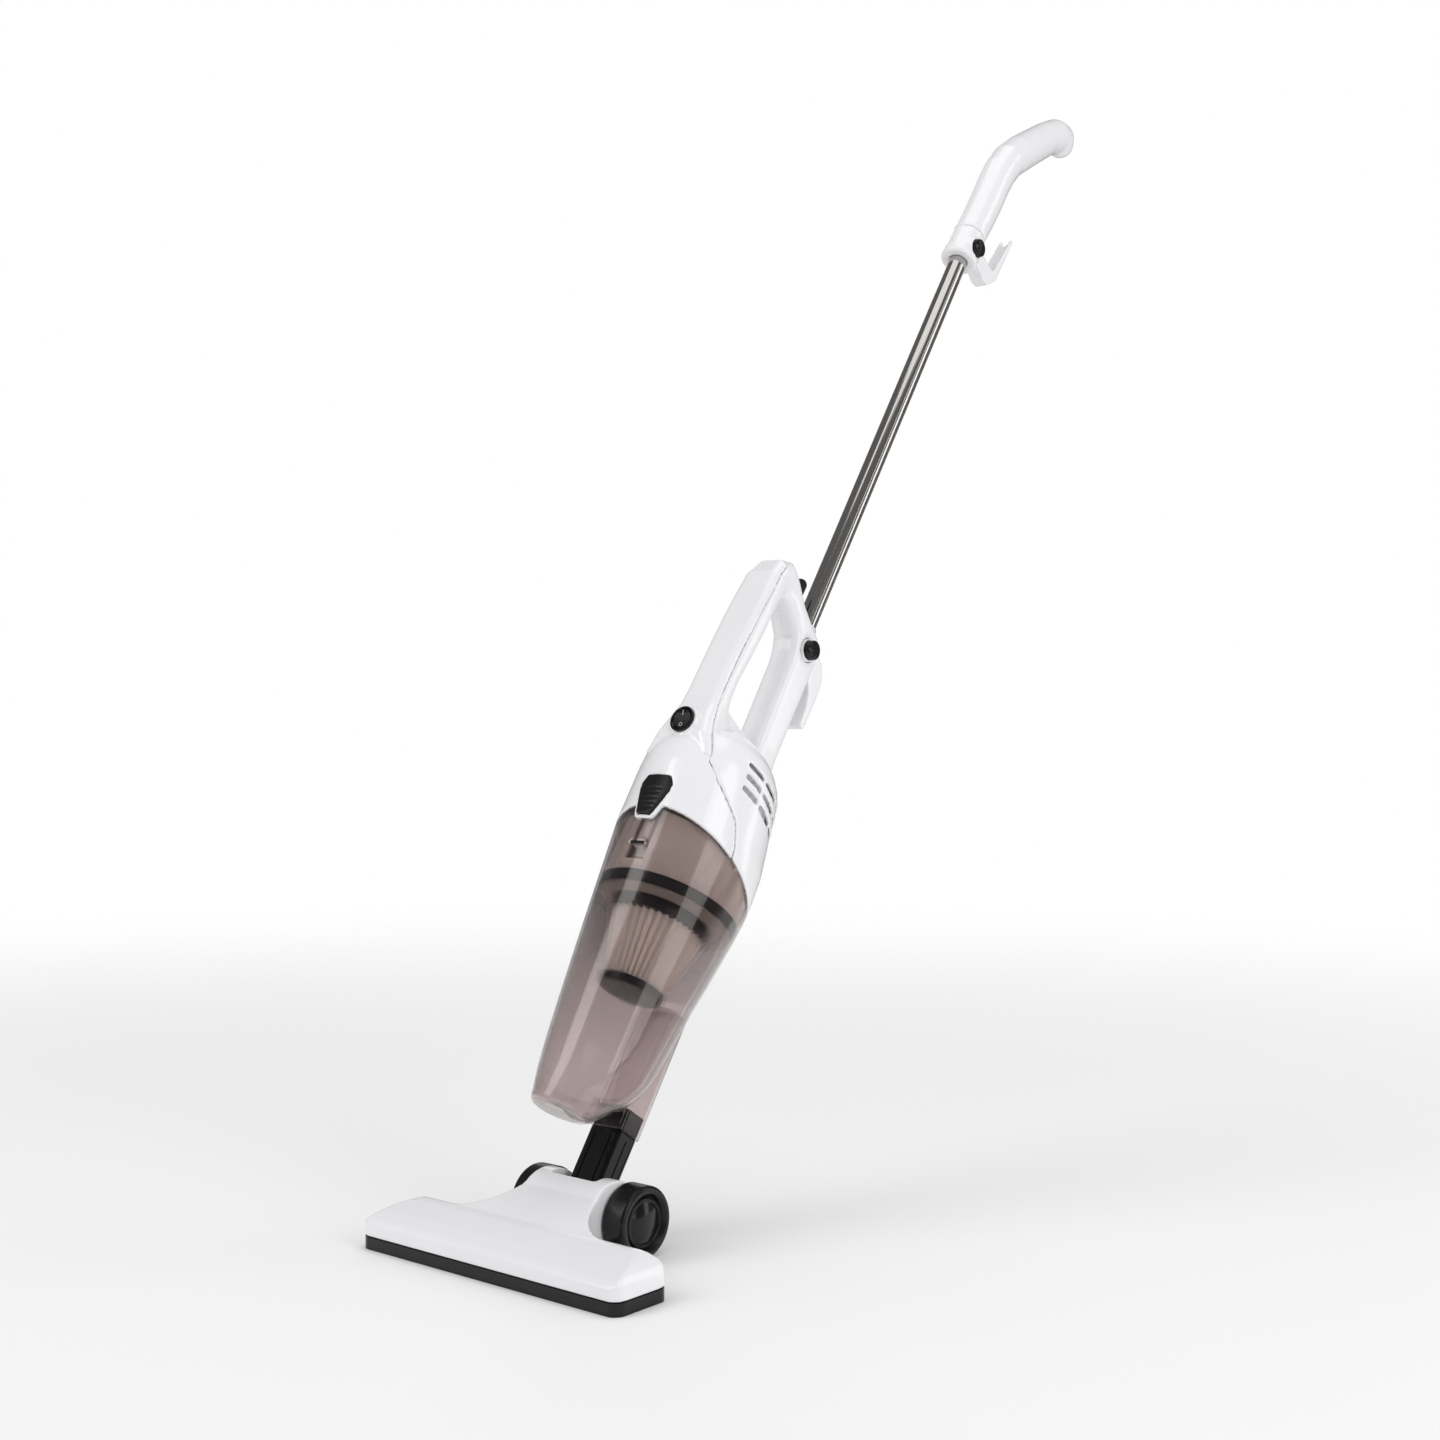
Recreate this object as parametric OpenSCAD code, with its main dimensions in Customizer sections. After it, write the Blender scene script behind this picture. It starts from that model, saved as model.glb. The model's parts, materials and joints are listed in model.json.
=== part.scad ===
// Two-in-one stick vacuum: hand unit with dust cup, floor head, steel tube and bent grip.
// World frame: X across the head, -Y to the front, +Z up, floor at Z = 0,
// origin on the floor under the middle of the head's black sole.
// Stick frame: Z runs up the steel tube, -Y is the front of the stick, Y = 0 on the tube's axis.

/* [Stick] */
// Lean of the stick back from upright, degrees
lean = 34.2; // [20:0.1:60]
// Distance from the neck hinge forward to the tube's axis
tube_front = 16.4; // [14:0.1:20]

/* [Floor head] */
// Width of the floor head
head_w = 236; // [200:1:280]
// Depth of the sole, front to rear
head_d = 48.8; // [44:0.2:60]
// Height of the black sole band
band_h = 8.4; // [6:0.2:12]
// Height of the white skirt above the band
skirt_h = 6.3; // [4:0.1:9]
// Corner radius of the sole
head_corner = 8; // [4:0.5:14]
// Rise of the cover's top face for each mm to the rear
top_slope = 0.4; // [0.3:0.01:0.5]
// Where the ridge of the cover lies behind the sole's middle
ridge_y = 13; // [8:0.5:16]
// Radius of the hollow curve between the bar and the hump
flank_r = 45; // [35:1:60]
// Half width of the hump that carries the neck
hump_w = 33; // [30:0.5:38]
// Wall of the head cover
head_wall = 2.2; // [1.6:0.1:3]
// Suction mouth, length and width
mouth_l = 196; // [150:1:210]
mouth_w = 16; // [10:0.5:20]

/* [Neck and hinge] */
// Neck hinge, behind the sole's middle
hinge_y = 66; // [62:0.5:70]
// Neck hinge above the floor
hinge_z = 26; // [24:0.5:30]
// Radius of the neck's barrel
barrel_r = 17; // [15:0.5:19]
// Half length of the neck's barrel
barrel_half = 20.2; // [18:0.2:22]
// Radius of the neck's trunnions
trunnion_r = 6; // [4:0.25:7]
// Neck, half width and depth
neck_half = 13.75; // [11:0.25:15]
neck_depth = 20; // [16:0.25:21]
// Middle of the neck behind the tube's axis
neck_y = 19; // [17:0.25:21]
// Wall of the neck
neck_wall = 2; // [1.5:0.1:3]
// Length of the spigot that plugs into the cup's duct
spigot_l = 16; // [12:0.5:22]

/* [Wheels] */
// Radius of a wheel
wheel_r = 24.5; // [22:0.5:26]
// Width of a wheel
wheel_w = 17.5; // [14:0.5:19]
// Outer face of a wheel from the middle
wheel_out = 52.5; // [51:0.5:60]
// Wheel axle behind the sole's middle
wheel_y = 76.5; // [74:0.5:80]
// Radius of the wheel's axle pin
axle_r = 3; // [2:0.25:4]

/* [Dust cup] */
// Bottom of the cup up the stick from the hinge
cup_z0 = 47; // [44:0.5:50]
// Radius of the cup at the gasket
cup_top_r = 53.2; // [52:0.1:55]
// Wall of the cup
cup_wall = 2; // [1.5:0.1:2.6]
// Axis of the cup in front of the tube's axis
cup_front = 19.6; // [19:0.2:21]
// Height of the slanted rim on the tube's axis
rim_z = 234.5; // [230:0.5:240]
// Slant of the rim
rim_slant = 0.4; // [0.3:0.01:0.5]
// Mouth of the cup's duct up the stick
duct_z0 = 58; // [52:0.5:64]
// Top of the rising duct inside the cup
duct_z1 = 151; // [130:1:160]
// Wall of the cup's duct
duct_wall = 1.6; // [1.2:0.1:2.2]
// Latch slot, width, height and place up the stick
slot_w = 17; // [12:0.5:20]
slot_h = 4.2; // [3:0.1:6]
slot_z = 237; // [232:0.5:242]

/* [Filter] */
// Underside of the cup gasket
gasket_z = 209.5; // [207:0.5:212]
// Height of the cup gasket
gasket_h = 8; // [5:0.5:10]
// Radius of the filter's top ring
filter_r1 = 36.8; // [30:0.2:40]
// Radius of the pleats at the bottom cap
filter_r0 = 21.5; // [16:0.5:26]
// Bottom cap of the filter, radius and height
cap_r = 23.6; // [20:0.2:28]
cap_h = 6; // [4:0.5:9]
// Underside of the filter's cap
cap_z = 145; // [140:1:156]
// Number of pleats
pleats = 36; // [24:1:44]
// Depth of a pleat
pleat_d = 4.2; // [2:0.1:6]

/* [Housing] */
// Wall of the hand unit's shells
shell = 2.4; // [1.8:0.1:3]
// Rocker switch, bezel radius and place up the stick
switch_r = 10; // [9:0.25:11]
switch_z = 335; // [330:0.5:342]
// Release button, height of its middle up the stick
button_z = 272.5; // [270:0.5:276]
// Travel of the release button
button_travel = 3; // [2:0.25:4]

/* [Motor] */
// Axis of the motor in front of the tube's axis
motor_front = 21; // [19:0.2:24]
// Radius of the motor's frame
motor_r = 29; // [24:0.5:32]
// Impeller radius
fan_r = 38; // [32:0.5:40]
// Number of impeller blades
fan_blades = 7; // [5:1:11]
// Radius of the motor's shaft
shaft_r = 2.5; // [2:0.25:4]

/* [Tube and grip] */
// Radius of the steel tube
tube_r = 8; // [7:0.25:9]
// Wall of the steel tube
tube_wall = 0.8; // [0.5:0.1:1.5]
// Foot of the steel tube in its socket
tube_z0 = 436; // [432:0.5:440]
// Depth of the steel tube in a socket
tube_in = 44; // [36:0.5:50]
// Length of the steel tube
tube_l = 476; // [440:1:520]
// Radius of the lock buttons
lock_r = 7.5; // [6:0.25:8.5]
// Travel of the lock buttons
lock_travel = 2.5; // [1.5:0.25:3.5]
// Radius of the grip
grip_r = 15.4; // [14.5:0.1:16.5]

/* [Fits] */
// Running clearance round moving pieces
run = 0.3; // [0.2:0.05:0.5]
// Clearance of seated pieces
seat = 0.15; // [0.1:0.05:0.3]
// Radial clearance of a pin in its bore
pin_fit = 0.06; // [0.03:0.01:0.1]

/* [Hidden] */
$fn = 64;
wheel_z = wheel_r;
skirt_z = band_h + skirt_h;
cup_y = -cup_front;
motor_y = -motor_front;
eps = 0.01;

// Head: reach of the trunnions, head screws, red lint strips, seat of the wheel cap.
trunnion_reach = 27;
screw_r = 1.5;
head_screw_at = [[-92, 15], [92, 15], [-26, 36], [26, 36]];
mouth_y = -10;
strip_l = 150;
strip_w = 5;
strip_at = [9.5, 18.5];
cap_seat_r = wheel_r - 10.5;
boss_out = wheel_out - wheel_w - run;

// Neck: spigot that plugs into the cup's duct.
neck_top = duct_z0 + spigot_l;
neck_front_y = neck_y - neck_depth / 2;
spigot_half = neck_half - 0.4;
spigot_depth = neck_depth - 0.6;
duct_half = spigot_half + seat;
duct_depth = spigot_depth + 2 * seat;

// Slices of the cup: height above its bottom, shift of the middle to the front, share of the top radius.
cup_at = [[0, 19, 0.3], [0.7, 19, 0.37], [3, 18.2, 0.42], [8, 15.8, 0.468], [13, 13.6, 0.512], [18, 11, 0.566],
  [23, 8.2, 0.62], [33, 5, 0.69], [43, 3.5, 0.733], [55, 2.9, 0.766], [75, 2.6, 0.81], [104, 2.1, 0.87],
  [134, 1.1, 0.939], [163, 0.3, 1], [194, 0, 1.057], [226, 0, 1.113]];

// Filter and gasket.
gasket_in = 46.5;
filter_y = cup_y - 2;
flange_z = gasket_z - 3;

// Motor, from the floor of the bulkhead upwards.
skirt_z0 = gasket_z + gasket_h;
floor_z = skirt_z0 + 4;
fan_z = floor_z + 4;
frame_z = fan_z + 22;
skirt_r = 51.2;
skirt_top = 250;
rear_mount_z = frame_z + 62.5;
rear_mount_r = 12;

// Hand unit: vents, switch, latch arm, sockets.
vent_y = [[-47, -31], [-28, -9], [-6, 9]];
vent_z = [316, 306.5, 297];
switch_y = -80.4;
ball_r = switch_r - 2.1;
rocker_tilt = 8;
arm_z0 = slot_z - slot_h / 2 + 0.6;
arm_y = cup_y - cup_r(slot_z) + cup_wall;
button_y = cup_y - 4.5;
button_front_r = 56.8;
lock_z = 453;
socket_r = tube_r + 1.3;
boss_r = lock_r + 1.6;
lock_out = 14;
socket_z0 = tube_z0 - 4;
socket_top = 475;
hook_y = 15.75;
gland_y = -23.2;
gland_r = 5;
gland_z = 474;
housing_screw_at = [[-50, 481], [2.2, 386], [-14, 342]];

// Grip at the top of the steel tube.
top_lock_z = tube_z0 + tube_l - 33;
collar_z = top_lock_z - 13;
collar_h = 30;
plug_r = 11.4;
grip_screw_at = [[3.2, collar_z + 89], [38, collar_z + 188]];
screw_head = 2.8;

function cup_r(z) = cup_top_r * lookup(z - cup_z0, [for (s = cup_at) [s[0], s[2]]]);
function top_z(y) = skirt_z + top_slope * (y + head_d / 2);

// Puts a piece that is drawn in the stick frame into the world.
module stick() {
  translate([0, hinge_y, hinge_z]) rotate([-lean, 0, 0]) translate([0, -tube_front, 0]) children();
}

// Draws a side profile, given in (y, z), and pulls it across from -half to +half.
module across(half) {
  translate([-half, 0, 0]) rotate([90, 0, 90]) linear_extrude(2 * half) children();
}

module rounded(size, r) {
  for (x = [-1, 1], y = [-1, 1])
    translate([x * (size[0] / 2 - r), y * (size[1] / 2 - r)]) circle(r);
  square([size[0] - 2 * r, size[1]], center = true);
  square([size[0], size[1] - 2 * r], center = true);
}

module ring(r_out, r_in, h) {
  difference() {
    cylinder(h = h, r = r_out);
    translate([0, 0, -1]) cylinder(h = h + 2, r = r_in);
  }
}

module coil_spring_body(r_out, h, wire) {
  // Plain sleeve that stands for a coil spring's outer shape.
  ring(r_out, r_out - wire, h);
}

// ---------------------------------------------------------------- floor head

module head_plan(grow) {
  difference() {
    translate([-flank_r - hump_w - grow, -head_d / 2 + 8])
      square([2 * (flank_r + hump_w + grow), hinge_y + 34]);
    for (x = [-1, 1]) translate([x * (hump_w + flank_r), ridge_y + 1 + flank_r])
      circle(flank_r - grow);
    for (x = [-1, 1]) translate([x * (hump_w + grow) + (x > 0 ? 0 : -80), ridge_y + 1 + flank_r])
      square([80, 120]);
    for (x = [-1, 1]) translate([x * (hump_w + flank_r) + (x > 0 ? 0 : -80), ridge_y + 1 + grow])
      square([80, 120]);
  }
}

// Side of the hump, from the front edge up to the round over the neck's barrel.
module head_side(grow) {
  polygon([[-head_d / 2 - grow, band_h - 1], [-head_d / 2 - grow, skirt_z + grow * 0.6],
    [hinge_y, top_z(hinge_y) + grow], [hinge_y, band_h - 1]]);
  translate([hinge_y, hinge_z]) circle(top_z(hinge_y) - hinge_z + grow + 0.6);
}

// Side of the bar: a rolled front edge, a bowed roof, and a round ridge that drops to the rear edge.
bar_roof = [[-24.4, 0], [-24.2, 1.6], [-23, 3.4], [-20, 5.4], [-10, 9.2], [0, 12.2], [8, 14.5], [13, 15.4],
  [16.5, 15.2], [19.5, 13.6], [22, 10.4], [23.8, 5.6], [24.4, 0]];
module bar_side(grow) {
  translate([0, skirt_z]) polygon([for (p = bar_roof) [p[0] * (head_d + 2 * grow) / head_d, p[1] + grow]]);
  translate([-head_d / 2 - grow, band_h - 1]) square([head_d + 2 * grow, skirt_h + 1.01 + min(grow, 0)]);
}

// Front of the bar: round shoulders at both ends.
bar_end = [[0, 0], [0.4, 2], [1.6, 4.6], [4, 8], [8, 11.2], [14, 13.8], [22, 15.4], [34, 16.4], [50, 60]];
module bar_front(grow) {
  half = head_w / 2 + grow;
  translate([0, skirt_z]) polygon(concat([for (p = bar_end) [p[0] - half, p[1] + grow]],
    [for (i = [len(bar_end) - 1:-1:0]) [half - bar_end[i][0], bar_end[i][1] + grow]]));
  translate([-half, band_h - 1]) square([2 * half, skirt_h + 1.01 + min(grow, 0)]);
}

module head_form(grow) {
  intersection() {
    across(head_w) bar_side(grow);
    rotate([90, 0, 0]) linear_extrude(2 * head_w, center = true) bar_front(grow);
    linear_extrude(80) rounded([head_w + 2 * grow, head_d + 2 * grow], head_corner + grow);
  }
  intersection() {
    across(head_w) head_side(grow);
    linear_extrude(80) head_plan(grow);
  }
}

module head_cover() {
  color("white") difference() {
    intersection() {
      head_form(0);
      translate([-head_w, -head_w, band_h]) cube([2 * head_w, 2 * head_w, 90]);
    }
    // the hollow over the suction mouth and the air way to the neck
    intersection() {
      head_form(-head_wall);
      translate([-head_w, -head_w, band_h - 2]) cube([2 * head_w, head_w + hinge_y - barrel_r - 4, 90]);
    }
    // chamber of the neck's barrel, open at the top and at the rear
    across(barrel_half + run) translate([hinge_y, hinge_z]) circle(barrel_r + run);
    across(barrel_half + run) translate([hinge_y - 5, hinge_z]) square([80, 60]);
    across(barrel_half + run) translate([hinge_y, band_h - 1]) square([60, 30]);
    across(barrel_half - 2) translate([hinge_y - barrel_r - 10, band_h - 1]) square([12, hinge_z]);
    // trunnion bores, open downwards over the sole's saddles
    across(trunnion_reach + run) translate([hinge_y, hinge_z]) circle(trunnion_r + pin_fit);
    across(trunnion_reach + run)
      translate([hinge_y - trunnion_r - pin_fit, 0]) square([2 * (trunnion_r + pin_fit), hinge_z]);
    // seats of the wheel axles
    for (x = [-1, 1]) translate([x * (hump_w - 5.2), wheel_y, wheel_z]) rotate([0, x * 90, 0])
      cylinder(h = wheel_out, r = axle_r);
    for (p = head_screw_at) translate([p[0], p[1], 0]) cylinder(h = band_h + 9, r = screw_r - eps);
  }
  // bosses that the axles are pressed into
  color("white") for (x = [-1, 1]) difference() {
    translate([x * (hump_w - 1), wheel_y, wheel_z]) rotate([0, x * 90, 0])
      cylinder(h = boss_out - hump_w + 1, r = axle_r + 4);
    translate([x * (hump_w - 1.2), wheel_y, wheel_z]) rotate([0, x * 90, 0]) cylinder(h = wheel_out, r = axle_r);
  }
}

module head_base() {
  color("#1c1c1f") difference() {
    union() {
      linear_extrude(band_h - seat) rounded([head_w, head_d], head_corner);
      intersection() {
        translate([0, 0, 3]) linear_extrude(band_h - 3 - seat) head_plan(0);
        across(head_w) square([hinge_y + 20, 20]);
      }
      // saddles under the trunnions
      for (x = [-1, 1]) translate([x * 24.2 - 2.7, hinge_y - trunnion_r + run, 3])
        cube([5.4, 2 * (trunnion_r - run), hinge_z - 5]);
    }
    across(trunnion_reach + 4) translate([hinge_y, hinge_z]) circle(trunnion_r + pin_fit);
    // the barrel turns in a hollow of the sole
    across(barrel_half + run) translate([hinge_y, hinge_z]) circle(barrel_r + 2 * run);
    // suction mouth, flared below, and its front air notch
    translate([-mouth_l / 2, mouth_y - mouth_w / 2, -1]) cube([mouth_l, mouth_w, 20]);
    translate([-mouth_l / 2 - 6, mouth_y - mouth_w / 2 - 3, -1]) cube([mouth_l + 12, mouth_w + 4, 2.6]);
    // air way from the mouth to the neck
    translate([-barrel_half + 2, mouth_y, 5]) cube([2 * barrel_half - 4, hinge_y - barrel_r + 2 - mouth_y, 20]);
    // grooves of the lint strips
    for (y = strip_at) translate([-strip_l / 2 - seat, y - strip_w / 2 - seat, -1])
      cube([strip_l + 2 * seat, strip_w + 2 * seat, 3.2]);
    for (p = head_screw_at) translate([p[0], p[1], -1]) {
      cylinder(h = 20, r = screw_r + run);
      cylinder(h = 6, r = 3.4);
    }
  }
}

module lint_strips() {
  color("#7d1f24") for (y = strip_at) translate([-strip_l / 2, y - strip_w / 2, 0.3])
    cube([strip_l, strip_w, 1.9]);
}

module head_screws() {
  color("silver") for (p = head_screw_at) translate([p[0], p[1], 5 - 1.9]) {
    cylinder(h = 1.9, r = 2.9);
    cylinder(h = 12, r = screw_r - 0.02);
  }
}

module wheel(side) {
  inner = wheel_out - wheel_w;
  color("#151517") translate([side * inner, wheel_y, wheel_z]) rotate([0, side * 90, 0])
    difference() {
      rotate_extrude() difference() {
        union() {
          square([wheel_r, wheel_w - 3]);
          square([wheel_r - 3, wheel_w]);
          translate([wheel_r - 3, wheel_w - 3]) circle(3);
        }
        // groove between the rim and the disc
        translate([wheel_r - 8, wheel_w - 6]) square([3, 7]);
        translate([-1, wheel_w - 1.4]) square([wheel_r - 6, 2]);
        // hollow back
        translate([axle_r + 4, -1]) square([wheel_r - 3 - axle_r - 4, wheel_w - 8]);
        translate([-1, -1]) square([axle_r + pin_fit + 1, wheel_w - 4]);
        // seat of the cap
        translate([-1, wheel_w - 4.2]) square([cap_seat_r + 1, 6]);
      }
    }
}

module wheel_cap(side) {
  color("#232326") translate([side * (wheel_out - 4.2 + seat), wheel_y, wheel_z]) rotate([0, side * 90, 0])
    union() {
      cylinder(h = 2, r = cap_seat_r - seat);
      translate([0, 0, 1.9]) cylinder(h = 0.8, r1 = cap_seat_r - 0.6, r2 = cap_seat_r - 1.4);
    }
}

module wheel_left() { wheel(-1); }
module wheel_right() { wheel(1); }
module wheel_cap_left() { wheel_cap(-1); }
module wheel_cap_right() { wheel_cap(1); }

module wheel_axles() {
  color("silver") for (x = [-1, 1]) translate([x * (hump_w - 5), wheel_y, wheel_z]) rotate([0, x * 90, 0])
    cylinder(h = wheel_out - 6 - hump_w + 5, r = axle_r - 0.02);
}

// ---------------------------------------------------------------- neck

module neck() {
  color("#1c1c1f") difference() {
    union() {
      stick() {
        translate([-barrel_half, tube_front, 0]) rotate([0, 90, 0]) cylinder(h = 2 * barrel_half, r = barrel_r);
        translate([-trunnion_reach, tube_front, 0]) rotate([0, 90, 0]) cylinder(h = 2 * trunnion_reach, r = trunnion_r);
        translate([0, neck_y, 0]) linear_extrude(duct_z0 - run) rounded([2 * neck_half, neck_depth], 2.5);
        translate([0, neck_y, 0]) linear_extrude(neck_top) rounded([2 * spigot_half, spigot_depth], 2.2);
      }
    }
    stick() {
      // duct through the neck and the barrel's chamber
      translate([0, neck_y, 0]) linear_extrude(neck_top + 1)
        rounded([2 * (neck_half - neck_wall - 0.4), neck_depth - 2 * neck_wall - 0.6], 1.6);
      translate([-barrel_half + 2.4, tube_front, 0]) rotate([0, 90, 0])
        cylinder(h = 2 * barrel_half - 4.8, r = barrel_r - 2.4);
      // grooves down the front, the rear and the sides
      for (x = [-7.2, 7.2], y = [0, neck_depth])
        translate([x - 0.6, neck_front_y + y - 0.7, 12]) cube([1.2, 1.4, duct_z0 - 16]);
      for (x = [-1, 1]) translate([x * neck_half - 0.7, neck_y - 0.6, 12]) cube([1.4, 1.2, duct_z0 - 16]);
    }
    // window of the barrel towards the air way in the head
    translate([-barrel_half + 4.4, hinge_y - 30, hinge_z - 14]) cube([2 * barrel_half - 8.8, 26, 17]);
  }
}

// ---------------------------------------------------------------- dust cup and filter

// Everything under the slanted rim, moved up by lift.
module under_rim(lift) {
  translate([0, 0, rim_z + lift]) rotate([-atan(rim_slant), 0, 0])
    translate([-150, -150, -400]) cube([300, 300, 400]);
}

module cup_body(inset) {
  for (i = [0:len(cup_at) - 2]) hull() for (s = [cup_at[i], cup_at[i + 1]])
    translate([0, cup_y - s[1], max(cup_z0 + s[0], cup_z0 + inset + (s[0] > 0 ? 0.02 : 0))])
      cylinder(h = 0.3, r = s[2] * cup_top_r - inset, $fn = 72);
}

module duct_block(half, depth, z0, z1) {
  translate([0, neck_y, z0]) linear_extrude(z1 - z0) rounded([2 * half, depth], 2.4);
}

module dust_cup() {
  color([0.6, 0.52, 0.51, 0.55]) stick() difference() {
    union() {
      intersection() {
        cup_body(0);
        under_rim(0);
      }
      duct_block(duct_half + duct_wall, duct_depth + 2 * duct_wall, duct_z0, 160);
      // frame of the latch slot
      intersection() {
        translate([-slot_w / 2 - 1.5, cup_y - cup_r(slot_z) - 0.8, slot_z - slot_h / 2 - 1.5])
          cube([slot_w + 3, 12, slot_h + 3]);
        translate([0, cup_y, slot_z - 10]) cylinder(h = 20, r = cup_r(slot_z) + 0.6);
      }
    }
    difference() {
      cup_body(cup_wall);
      duct_block(duct_half + duct_wall, duct_depth + 2 * duct_wall, duct_z0, duct_z1);
    }
    duct_block(duct_half, duct_depth, duct_z0 - 1, duct_z1 + 1);
    translate([-slot_w / 2, cup_y - cup_r(slot_z) - 4, slot_z - slot_h / 2]) cube([slot_w, 12, slot_h]);
    tongue(seat, 20);
  }
}

module cup_gasket() {
  color("#18181b") stick() translate([0, cup_y, gasket_z]) difference() {
    cylinder(h = gasket_h, r1 = cup_r(gasket_z) - cup_wall - 2 * run,
      r2 = cup_r(gasket_z + gasket_h) - cup_wall - 2 * run);
    translate([0, 0, -1]) cylinder(h = gasket_h + 2, r = gasket_in);
  }
}

module filter_holder() {
  color([0.8, 0.78, 0.74, 0.8]) stick() difference() {
    union() {
      translate([0, cup_y, flange_z]) cylinder(h = 3, r = cup_r(flange_z) - cup_wall - 3 * run);
      translate([0, cup_y, flange_z]) cylinder(h = 4, r = gasket_in - seat);
      translate([0, filter_y, flange_z - 6]) cylinder(h = 6, r = filter_r1 - 3 - seat);
    }
    translate([0, filter_y, flange_z - 7]) cylinder(h = 30, r = filter_r1 - 6);
  }
}

module filter_ring() {
  color("#1b1b1e") stick() translate([0, filter_y, flange_z - 9]) difference() {
    cylinder(h = 9 - seat, r = filter_r1);
    translate([0, 0, 3]) cylinder(h = 20, r = filter_r1 - 3);
    translate([0, 0, -1]) cylinder(h = 20, r = filter_r1 - 7);
  }
}

module filter_pleats() {
  z0 = cap_z + cap_h - 2;
  z1 = flange_z - 9;
  color("#d8cfc2") stick() translate([0, filter_y, z0]) difference() {
    pleat_cone(filter_r0, filter_r1 - 2.4, z1 - z0, pleat_d);
    translate([0, 0, -1]) cylinder(h = z1 - z0 + 2, r1 = filter_r0 - pleat_d - 1.2, r2 = filter_r1 - 2.4 - pleat_d - 1.2);
  }
}

// A star of pleats, drawn as one lofted skin from the bottom radius to the top one.
module pleat_cone(r0, r1, h, depth) {
  n = 2 * pleats;
  function star(r, z) = [for (i = [0:n - 1]) let (a = 360 * i / n, q = i % 2 == 0 ? r : r - depth)
    [q * cos(a), q * sin(a), z]];
  points = concat(star(r0, 0), star(r1, h));
  sides = [for (i = [0:n - 1]) [i, (i + 1) % n, n + (i + 1) % n, n + i]];
  lids = [[for (i = [n - 1:-1:0]) i], [for (i = [0:n - 1]) n + i]];
  polyhedron(points, concat([for (s = sides) [s[3], s[2], s[1], s[0]]], [for (l = lids) [for (k = [len(l) - 1:-1:0]) l[k]]]));
}

module filter_cap() {
  color("#1b1b1e") stick() translate([0, filter_y, cap_z]) difference() {
    rotate_extrude() union() {
      square([cap_r - 1.5, cap_h]);
      translate([0, 1.5]) square([cap_r, cap_h - 1.5]);
      translate([cap_r - 1.5, 1.5]) circle(1.5);
    }
    translate([0, 0, cap_h - 2 - seat]) cylinder(h = 5, r = cap_r - 1.2);
  }
}

// ---------------------------------------------------------------- hand unit

// Slices of the hand unit's body: place up the stick, shift to the front, share of the cup's top radius.
body_at = [[205, 0, 1.012], [220, 0.2, 1.027], [235, 1.1, 1.049], [247, 2.1, 1.056], [258, 2.8, 1.056],
  [268, 4, 1.041], [280, 5.4, 1.023], [292, 6.8, 1.008], [303, 7.8, 0.996], [313, 8.8, 0.974], [321, 10, 0.929],
  [329, 11.4, 0.85], [336, 12.8, 0.742], [342, 13.8, 0.611], [347, 14.4, 0.451], [350, 14.4, 0.263]];

// Slices of the loop handle: (y, z) on the hole's side, (y, z) on the outer side, half width, rounding.
loop_at = [[-40, 318, -74, 312, 31, 5.5], [-46, 332, -78.5, 326, 24, 6], [-51.5, 345, -77.5, 340, 19.8, 6],
  [-55, 356, -75.4, 353, 17.4, 6], [-56.8, 368, -74.7, 367, 16.8, 6], [-57, 384, -74.5, 384, 16.6, 6],
  [-55, 405, -73.4, 407, 17.1, 6], [-53.3, 430, -71.8, 433, 17.5, 6], [-53, 448, -70.2, 453, 17.7, 6.5],
  [-51, 461, -68.2, 479, 16.6, 7.5], [-47.5, 467, -63, 493, 15.4, 9], [-41.5, 468, -51, 500, 14.4, 10],
  [-34, 466, -38, 494.5, 13.8, 10], [-26.5, 461.5, -22, 483, 13.6, 8.5], [-17.5, 454, -4, 474, 13.4, 7],
  [-13, 445, 9, 468, 13.2, 5.5], [-11.4, 434, 15.4, 452, 13, 5.5], [-9.9, 362, 15.5, 362, 13.2, 5.5],
  [-10, 350, 16.3, 346, 14, 5.5], [-10.5, 338, 17, 333, 15, 5.5], [-12, 326, 18.4, 317, 17, 5.5]];

// Slices of the saddle under the loop's opening.
saddle_at = [[-60, 360, -60, 330, 16.4, 5], [-36, 357.4, -36, 330, 15.4, 5], [-6, 354, -6, 325, 13.8, 5]];

// Rounding of the handle's edges.

module slice(s, inset) {
  dy = s[2] - s[0];
  dz = s[3] - s[1];
  deep = sqrt(dy * dy + dz * dz);
  translate([0, (s[0] + s[2]) / 2, (s[1] + s[3]) / 2]) rotate([atan2(dz, dy), 0, 0])
    translate([0, 0, -0.5]) linear_extrude(1)
      rounded([2 * (s[4] - inset), deep - 2 * inset], s[5] - inset * 0.8, $fn = 28);
}

module slice_chain(slices, inset) {
  for (i = [0:len(slices) - 2]) hull() {
    slice(slices[i], inset);
    slice(slices[i + 1], inset);
  }
}

module body_form(inset) {
  for (i = [0:len(body_at) - 2]) hull() for (s = [body_at[i], body_at[i + 1]])
    translate([0, cup_y - s[1], s[0] - inset * (s[0] > 330 ? 1 : 0)])
      cylinder(h = 1, r = s[2] * cup_top_r - inset, $fn = 64);
}

module housing_form(inset) {
  body_form(inset);
  slice_chain(loop_at, inset);
  slice_chain(saddle_at, inset);
}

// White surround of the release button that dips over the cup's rim.
module tongue(grow, depth) {
  translate([0, cup_y - cup_r(255) + depth - 8, button_z]) rotate([90, 0, 0]) linear_extrude(depth)
    polygon([[-17 - grow, 6], [-9.2 - grow, -16 - grow], [-7 - grow, -18.6 - grow], [7 + grow, -18.6 - grow],
    [9.2 + grow, -16 - grow], [17 + grow, 6]]);
}

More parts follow.
